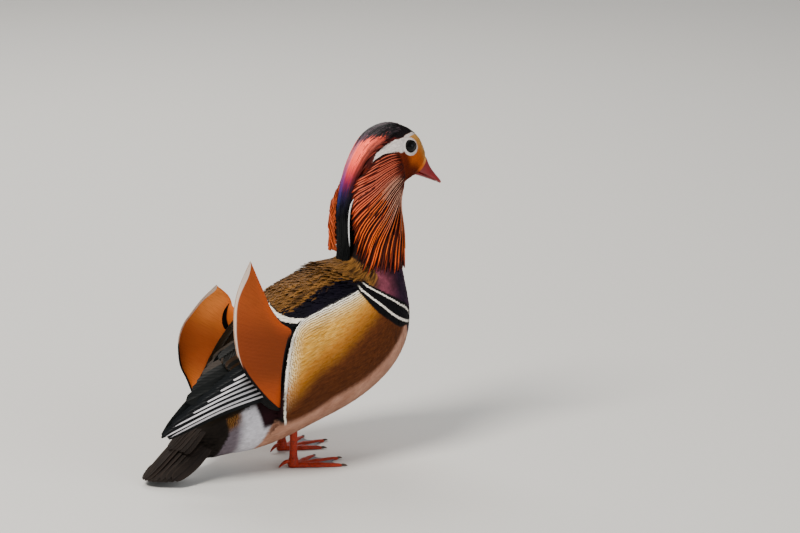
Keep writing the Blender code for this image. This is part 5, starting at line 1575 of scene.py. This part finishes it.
def make_eyes():
    """Eyeballs with a brown iris, and dark lids round them."""
    look = Look("eye")
    ring = look.split(look.attribute("vane"))[0]
    iris = look.mix(look.noise(look.coordinates(), 900, 3), (0.008, 0.005, 0.004), (0.022, 0.012, 0.008))
    colour = look.mix(look.step(ring, 0.66, 0.58), iris, (0.006, 0.006, 0.007))
    colour = look.mix(look.step(ring, 0.84, 0.92), colour, (0.02, 0.015, 0.012))
    material = look.finish(colour, 0.06, specular=0.16)
    lid = Look("eye_lids")
    dark = lid.mix(lid.noise(lid.coordinates(), 800, 2), (0.012, 0.009, 0.008), (0.03, 0.022, 0.018))
    lid_material = lid.finish(dark, 0.6, specular=0.1)
    parts = []
    for side, word in ((-1, "right"), (1, "left")):
        centre, way = eye_frame(side)
        at = turned(centre)
        look_to = unit(turned(centre + way) - at)
        deselect()
        bpy.ops.mesh.primitive_uv_sphere_add(segments=48, ring_count=32, radius=EYE_RADIUS * MM)
        ball = bpy.context.object
        ball.name = "eyeball_" + word
        for vert in ball.data.vertices:
            off_axis = math.hypot(vert.co.x, vert.co.y) / (CORNEA_RADIUS * MM)
            if vert.co.z > 0:
                vert.co.z += CORNEA_RISE * MM * max(0.0, 1 - off_axis**2)
            else:
                vert.co.z *= 0.8
        ball.rotation_mode = "QUATERNION"
        ball.rotation_quaternion = Vector(look_to).to_track_quat("Z", "Y")
        ball.location = metres(at)
        bpy.ops.object.transform_apply(location=True, rotation=True, scale=True)
        bpy.ops.object.shade_smooth()
        ball.data.materials.append(material)
        co = np.array([v.co for v in ball.data.vertices]) / MM - [FRAME_SHIFT, 0, 0]
        off = co - at
        radial = np.linalg.norm(off - np.outer(off @ look_to, look_to), axis=1) / SHOWN_EYE_RADIUS
        radial = np.where(off @ look_to > 0, radial, 1.2)
        set_lay(ball.data, np.zeros((len(co), 3)), np.stack([radial, radial * 0, radial * 0], -1))
        parts.append(finished(ball, "eye", "eye_" + word))
        deselect()
        bpy.ops.mesh.primitive_torus_add(
            major_segments=56, minor_segments=14,
            major_radius=LID_RADIUS * MM, minor_radius=LID_THICKNESS * MM,
        )
        rim = bpy.context.object
        rim.name = "lids_" + word
        for vert in rim.data.vertices:
            angle = math.atan2(vert.co.y, vert.co.x)
            vert.co.x *= 1.02 + 0.03 * math.cos(2 * angle)
            vert.co.z = vert.co.z * 0.9 + math.sqrt(EYE_RADIUS**2 - LID_RADIUS**2) * MM
        rim.rotation_mode = "QUATERNION"
        rim.rotation_quaternion = Vector(look_to).to_track_quat("Z", "Y")
        rim.location = metres(at)
        bpy.ops.object.transform_apply(location=True, rotation=True, scale=True)
        bpy.ops.object.shade_smooth()
        rim.data.materials.append(lid_material)
        parts.append(finished(rim, "head_plumage"))
    return parts


LEG_X = {"right": 0, "left": 21}
LEG_Y = 25
TOES = [(-27, 36), (2, 46), (31, 43)]
LEG_LEVELS = [
    (8.6, 4.1, 3.4, 0), (13, 3.7, 3.0, 0), (24, 3.6, 2.9, 0.3), (34, 3.9, 3.2, 0.2), (39, 4.8, 4.0, 0),
    (44, 5.4, 4.7, 0), (50, 8, 7, 1), (60, 11, 9, 3),
]


def leg_material():
    look = Look("leg_skin")
    where = look.coordinates()
    cells = look.node("TexVoronoi", [("Vector", where), ("Scale", 620), ("Randomness", 0.75)])
    edge = look.step(cells.outputs["Distance"], 0.35, 0.75)
    soft = look.noise(where, 120, 2)
    colour = look.mix(soft, (0.50, 0.09, 0.01), (0.68, 0.19, 0.03))
    colour = look.mix(look.times(edge, 0.5), colour, (0.30, 0.06, 0.02))
    web = look.split(look.attribute("vane"))[0]
    colour = look.mix(web, colour, look.mix(soft, (0.20, 0.21, 0.24), (0.34, 0.35, 0.38)))
    return look.finish(colour, 0.5, look.bump(look.minus(1.0, edge), 0.0002, 0.6), specular=0.25)


TOE_PROFILE = [
    (0, 0.9, 4.6), (0.12, 0.85, 4.4), (0.3, 0.8, 3.9), (0.42, 0.74, 3.7), (0.5, 0.95, 4.3), (0.58, 0.76, 3.6),
    (0.68, 0.68, 3.3), (0.77, 0.8, 3.4), (0.85, 0.62, 2.9), (0.94, 0.6, 2.6), (1.0, 0.42, 1.8),
]
TOE_HALF_WIDTH = 4.1
CLAW_LENGTH = 4.5


def mark_web(obj, share):
    """Tells the leg's finish how much of each point is web, from 0 to 1."""
    vane = np.zeros((len(obj.data.vertices), 3))
    vane[:, 0] = share
    set_lay(obj.data, np.zeros_like(vane), vane)
    return obj


def toe_rings(ankle, way, length, count=12):
    across = np.array([-way[1], way[0], 0])
    angle = np.linspace(-0.06, math.pi + 0.06, count - 2)
    section = [(math.cos(a), max(math.sin(a), 0)) for a in angle] + [(-0.55, 0.02), (0.55, 0.02)]
    rings = []
    for share, width, height in TOE_PROFILE:
        centre = ankle + way * (length * share)
        half = TOE_HALF_WIDTH * width
        ring = [centre + across * (half * s) + [0, 0, max(height * h, 0.05)] for s, h in section]
        rings.append(np.array(ring))
    return rings, across


def make_legs():
    """Scaled lower legs, webbed toes flat on the floor, hind toes and claws."""
    material = leg_material()
    claw = Look("claws")
    horn = claw.mix(claw.noise(claw.coordinates(), 500, 3), (0.16, 0.10, 0.06), (0.30, 0.20, 0.13))
    claw_material = claw.finish(horn, 0.35)
    parts = []
    for word, side in (("right", -1), ("left", 1)):
        ankle = np.array([LEG_X[word], side * LEG_Y, 0.0])
        levels = curve(LEG_LEVELS, np.linspace(0, 1, 26))
        around = 2 * math.pi * np.arange(24) / 24
        rings = []
        for z, fore, wide, ahead in levels:
            ring = np.stack([ahead + fore * np.cos(around), wide * np.sin(around), np.full(24, z)], -1)
            rings.append(ring + ankle)
        shin = extruded("shin_" + word, rings, material)
        parts.append(finished(mark_web(shin, 0.0), "leg_skin", "leg_" + word))
        ways = []
        for i, (angle, length) in enumerate(TOES):
            a = math.radians(angle * side)
            way = np.array([math.cos(a), math.sin(a), 0.0])
            ways.append((way, length))
            rings, across = toe_rings(ankle, way, length)
            toe = extruded(f"toe_{word}_{i}", rings, material)
            nodes = ["foot_" + word] if i == 0 else []
            parts.append(finished(mark_web(toe, 0.0), "leg_skin", *nodes))
            tip = ankle + way * (length - 1.2)
            sizes = [(0, 1.5, 1.4, 1.0), (0.4, 1.25, 1.1, 1.3), (0.75, 0.75, 0.7, 1.0), (1, 0.2, 0.15, 0.3)]
            rings = []
            for share, wide, tall, level in sizes:
                ring = np.stack([0 * around, wide * np.cos(around), level + 0.06 + tall * np.sin(around)], -1)
                ring[:, 2] = np.maximum(ring[:, 2], 0.05)
                centre = tip + way * (CLAW_LENGTH + 1.2) * share
                rings.append(centre + across * ring[:, 1:2] + np.array([0, 0, 1]) * ring[:, 2:3])
            nail = extruded(f"claw_{word}_{i}", rings, claw_material)
            parts.append(finished(nail, "leg_skin"))
        for i in range(2):
            parts.append(make_web(f"web_{word}_{i}", ankle, ways[i], ways[i + 1], material))
        hind = curve([(-1, 0, 5.2), (-8, -side * 1.5, 5.5), (-14, -side * 2.5, 1.2)], np.linspace(0, 1, 9))
        sizes = np.interp(np.linspace(0, 1, 9), [0, 0.4, 0.8, 1], [2.0, 1.8, 1.2, 0.4])
        rings = []
        for p, size in zip(hind, sizes):
            level = np.maximum(size * np.sin(around), -p[2] + 0.1)
            ring = np.stack([0 * around, size * np.cos(around), level], -1)
            rings.append(ring + p + ankle)
        toe = extruded("hind_toe_" + word, rings, material)
        parts.append(finished(mark_web(toe, 0.0), "leg_skin"))
        heights = curve([(0.05, 4.6), (2.5, 5.2), (5.5, 4.9), (9.4, 4.2)], np.linspace(0, 1, 8))
        rings = []
        for z, radius in heights:
            ring = np.stack([radius * np.cos(around), radius * 0.82 * np.sin(around), np.full(24, z)], -1)
            rings.append(ring + ankle)
        joint = extruded("ankle_" + word, rings, material)
        parts.append(finished(mark_web(joint, 0.0), "leg_skin"))
    return parts


def make_web(name, ankle, first, second, material):
    """The web between two toes, hollowed at its free edge."""
    s = np.linspace(0, 1, 20)[None]
    r = np.linspace(0.04, 1, 26)[:, None]
    way = unit(lerp(first[0], second[0], s[..., None]))
    reach = lerp(first[1], second[1], s) * (0.95 - 0.15 * np.sin(math.pi * s))
    points = ankle + way * (reach * r)[..., None]
    points[..., 2] = 0.95 + 0.25 * np.sin(math.pi * s * 3) * r + 0.35 * r * np.cos(math.pi * (s - 0.5) * 2)
    normal = np.zeros_like(points)
    normal[..., 2] = 1
    obj = closed_sheet(name, points, normal, np.full(points.shape[:2], 0.42), material)
    share = np.clip(np.sin(math.pi * s) * 3 - 0.5, 0, 1) * smooth((r - 0.1) / 0.3)
    mark_web(obj, np.concatenate([share.ravel(), share.ravel()]))
    return finished(obj, "leg_skin")


# Stage

CAMERA_AZIMUTH = -35
CAMERA_ELEVATION = 14
CAMERA_DISTANCE = 4.0
PIXELS_PER_METRE = 1137
IMAGE_WIDTH = 800
IMAGE_HEIGHT = 533
FEET_AT = (277.7, 460.4)
SENSOR = 36


def camera_ways():
    azimuth = math.radians(CAMERA_AZIMUTH)
    level = math.radians(CAMERA_ELEVATION)
    flat = math.cos(level)
    back = Vector((math.sin(azimuth) * flat, -math.cos(azimuth) * flat, math.sin(level)))
    right = Vector((math.cos(azimuth), math.sin(azimuth), 0))
    return back, right, right.cross(-back).normalized()


def make_stage(settings):
    back, right, up = camera_ways()
    feet = Vector((FRAME_SHIFT * MM, 0, 0))
    target = feet + right * ((IMAGE_WIDTH / 2 - FEET_AT[0]) / PIXELS_PER_METRE)
    target += up * ((FEET_AT[1] - IMAGE_HEIGHT / 2) / PIXELS_PER_METRE)
    data = bpy.data.cameras.new("camera")
    data.sensor_width = SENSOR
    data.lens = PIXELS_PER_METRE * CAMERA_DISTANCE / IMAGE_WIDTH * SENSOR
    camera = bpy.data.objects.new("camera", data)
    bpy.context.scene.collection.objects.link(camera)
    camera.location = target + back * CAMERA_DISTANCE
    camera.rotation_mode = "QUATERNION"
    camera.rotation_quaternion = (-back).to_track_quat("-Z", "Y")
    bpy.context.scene.camera = camera

    deselect()
    bpy.ops.mesh.primitive_plane_add(size=24, location=(0, 0, -0.0002))
    floor = bpy.context.object
    floor.name = "floor"
    look = Look("floor")
    tone = tuple(settings.floor_colour)
    grain = look.noise(look.coordinates(), 260, 4)
    floor.data.materials.append(look.finish(look.mix(grain, tuple(c * 0.97 for c in tone), tone), 0.85))

    middle = Vector((FRAME_SHIFT * MM, 0, 0.15))
    main_power = settings.key_power
    lamps = [
        ("key", -right * 1.1 + back * 1.25 + Vector((0, 0, 1.75)), 1.1, main_power, (1.0, 0.965, 0.91)),
        ("fill", right * 1.9 + back * 1.5 + Vector((0, 0, 0.7)), 2.2, main_power * 0.30, (0.93, 0.96, 1.0)),
        ("rim", -back * 1.7 - right * 0.4 + Vector((0, 0, 1.8)), 1.4, main_power * 0.3, (1.0, 0.98, 0.95)),
    ]
    for name, offset, size, power, colour in lamps:
        light = bpy.data.lights.new(name, "AREA")
        light.shape = "DISK"
        light.size = size
        light.energy = power
        light.color = colour
        lamp = bpy.data.objects.new(name, light)
        bpy.context.scene.collection.objects.link(lamp)
        lamp.location = middle + offset
        lamp.rotation_mode = "QUATERNION"
        lamp.rotation_quaternion = offset.to_track_quat("Z", "Y")
    world = bpy.data.worlds.new("studio")
    bpy.context.scene.world = world
    world.use_nodes = True
    world.node_tree.nodes["Background"].inputs["Color"].default_value = (0.95, 0.97, 1.0, 1)
    world.node_tree.nodes["Background"].inputs["Strength"].default_value = settings.sky_strength


# Settings, operators and panel

SEED = 7


class DuckCoatSettings(bpy.types.PropertyGroup):
    seed: IntProperty(name="Seed", description="Which draw of the feathers is grown", default=SEED, min=0)


class DuckStageSettings(bpy.types.PropertyGroup):
    floor_colour: FloatVectorProperty(
        name="Floor colour", description="Colour of the studio floor", default=(0.80, 0.79, 0.77),
        subtype="COLOR", min=0, max=1,
    )
    key_power: FloatProperty(
        name="Key light", description="Power of the main light", default=105.0, unit="POWER",
    )
    sky_strength: FloatProperty(
        name="Room light", description="Strength of the even light", default=0.38, min=0,
    )


def draw(settings, offset):
    return np.random.default_rng(settings.seed * 100 + offset)


class DUCK_OT_skin(bpy.types.Operator):
    """Builds the one skin of trunk, neck and head"""

    bl_idname = "duck.skin"
    bl_label = "Skin"

    def execute(self, context):
        make_skin(coat())
        return {"FINISHED"}


class DUCK_OT_small_feathers(bpy.types.Operator):
    """Grows the contour feathers of trunk, neck and head"""

    bl_idname = "duck.small_feathers"
    bl_label = "Small feathers"

    def execute(self, context):
        settings = context.scene.duck_coat
        make_body_feathers(coat(), draw(settings, 1))
        make_head_feathers(coat(), draw(settings, 2))
        return {"FINISHED"}


class DUCK_OT_crest(bpy.types.Operator):
    """Hangs the crest from the crown"""

    bl_idname = "duck.crest"
    bl_label = "Crest"

    def execute(self, context):
        make_crest(draw(context.scene.duck_coat, 3))
        return {"FINISHED"}


class DUCK_OT_ruff(bpy.types.Operator):
    """Fans the hackles from the cheeks over the neck"""

    bl_idname = "duck.ruff"
    bl_label = "Ruff"

    def execute(self, context):
        make_ruff(draw(context.scene.duck_coat, 4))
        return {"FINISHED"}


class DUCK_OT_sails(bpy.types.Operator):
    """Raises the two sail feathers"""

    bl_idname = "duck.sails"
    bl_label = "Sails"

    def execute(self, context):
        make_sails()
        return {"FINISHED"}


class DUCK_OT_wings(bpy.types.Operator):
    """Folds the wings behind the flanks"""

    bl_idname = "duck.wings"
    bl_label = "Wings"

    def execute(self, context):
        make_wings()
        return {"FINISHED"}


class DUCK_OT_tail(bpy.types.Operator):
    """Lays the tail feathers and their coverts"""

    bl_idname = "duck.tail"
    bl_label = "Tail"

    def execute(self, context):
        make_tail(draw(context.scene.duck_coat, 7))
        return {"FINISHED"}


class DUCK_OT_bill(bpy.types.Operator):
    """Shapes both halves of the bill"""

    bl_idname = "duck.bill"
    bl_label = "Bill"

    def execute(self, context):
        make_bill()
        return {"FINISHED"}


class DUCK_OT_eyes(bpy.types.Operator):
    """Sets the eyes in their lids"""

    bl_idname = "duck.eyes"
    bl_label = "Eyes"

    def execute(self, context):
        make_eyes()
        return {"FINISHED"}


class DUCK_OT_legs(bpy.types.Operator):
    """Shapes legs, toes, webs and claws"""

    bl_idname = "duck.legs"
    bl_label = "Legs and feet"

    def execute(self, context):
        make_legs()
        return {"FINISHED"}


class DUCK_OT_stage(bpy.types.Operator):
    """Sets the camera, floor and lights"""

    bl_idname = "duck.stage"
    bl_label = "Stage"

    def execute(self, context):
        make_stage(context.scene.duck_stage)
        return {"FINISHED"}


def coat():
    """The one finish of skin and small feathers, made on its first use."""
    return bpy.data.materials.get("plumage") or coat_material()


OPERATORS = [
    DUCK_OT_skin, DUCK_OT_small_feathers, DUCK_OT_crest, DUCK_OT_ruff, DUCK_OT_sails, DUCK_OT_wings,
    DUCK_OT_tail, DUCK_OT_bill, DUCK_OT_eyes, DUCK_OT_legs, DUCK_OT_stage,
]


class DUCK_PT_panel(bpy.types.Panel):
    """Lists the duck's settings and the operators that build it"""

    bl_idname = "DUCK_PT_panel"
    bl_label = "Duck"
    bl_space_type = "VIEW_3D"
    bl_region_type = "UI"
    bl_category = "Duck"

    def draw(self, context):
        for settings in (context.scene.duck_coat, context.scene.duck_stage):
            for name in settings.__annotations__:
                self.layout.prop(settings, name)
        for operator in OPERATORS:
            self.layout.operator(operator.bl_idname)


CLASSES = [DuckCoatSettings, DuckStageSettings, *OPERATORS, DUCK_PT_panel]


def register():
    for cls in CLASSES:
        bpy.utils.register_class(cls)
    bpy.types.Scene.duck_coat = PointerProperty(type=DuckCoatSettings)
    bpy.types.Scene.duck_stage = PointerProperty(type=DuckStageSettings)


def unregister():
    del bpy.types.Scene.duck_coat
    del bpy.types.Scene.duck_stage
    for cls in reversed(CLASSES):
        bpy.utils.unregister_class(cls)


def main():
    register()
    for operator in OPERATORS:
        family, action = operator.bl_idname.split(".")
        getattr(getattr(bpy.ops, family), action)()
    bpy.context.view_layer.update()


if __name__ == "__main__":
    main()
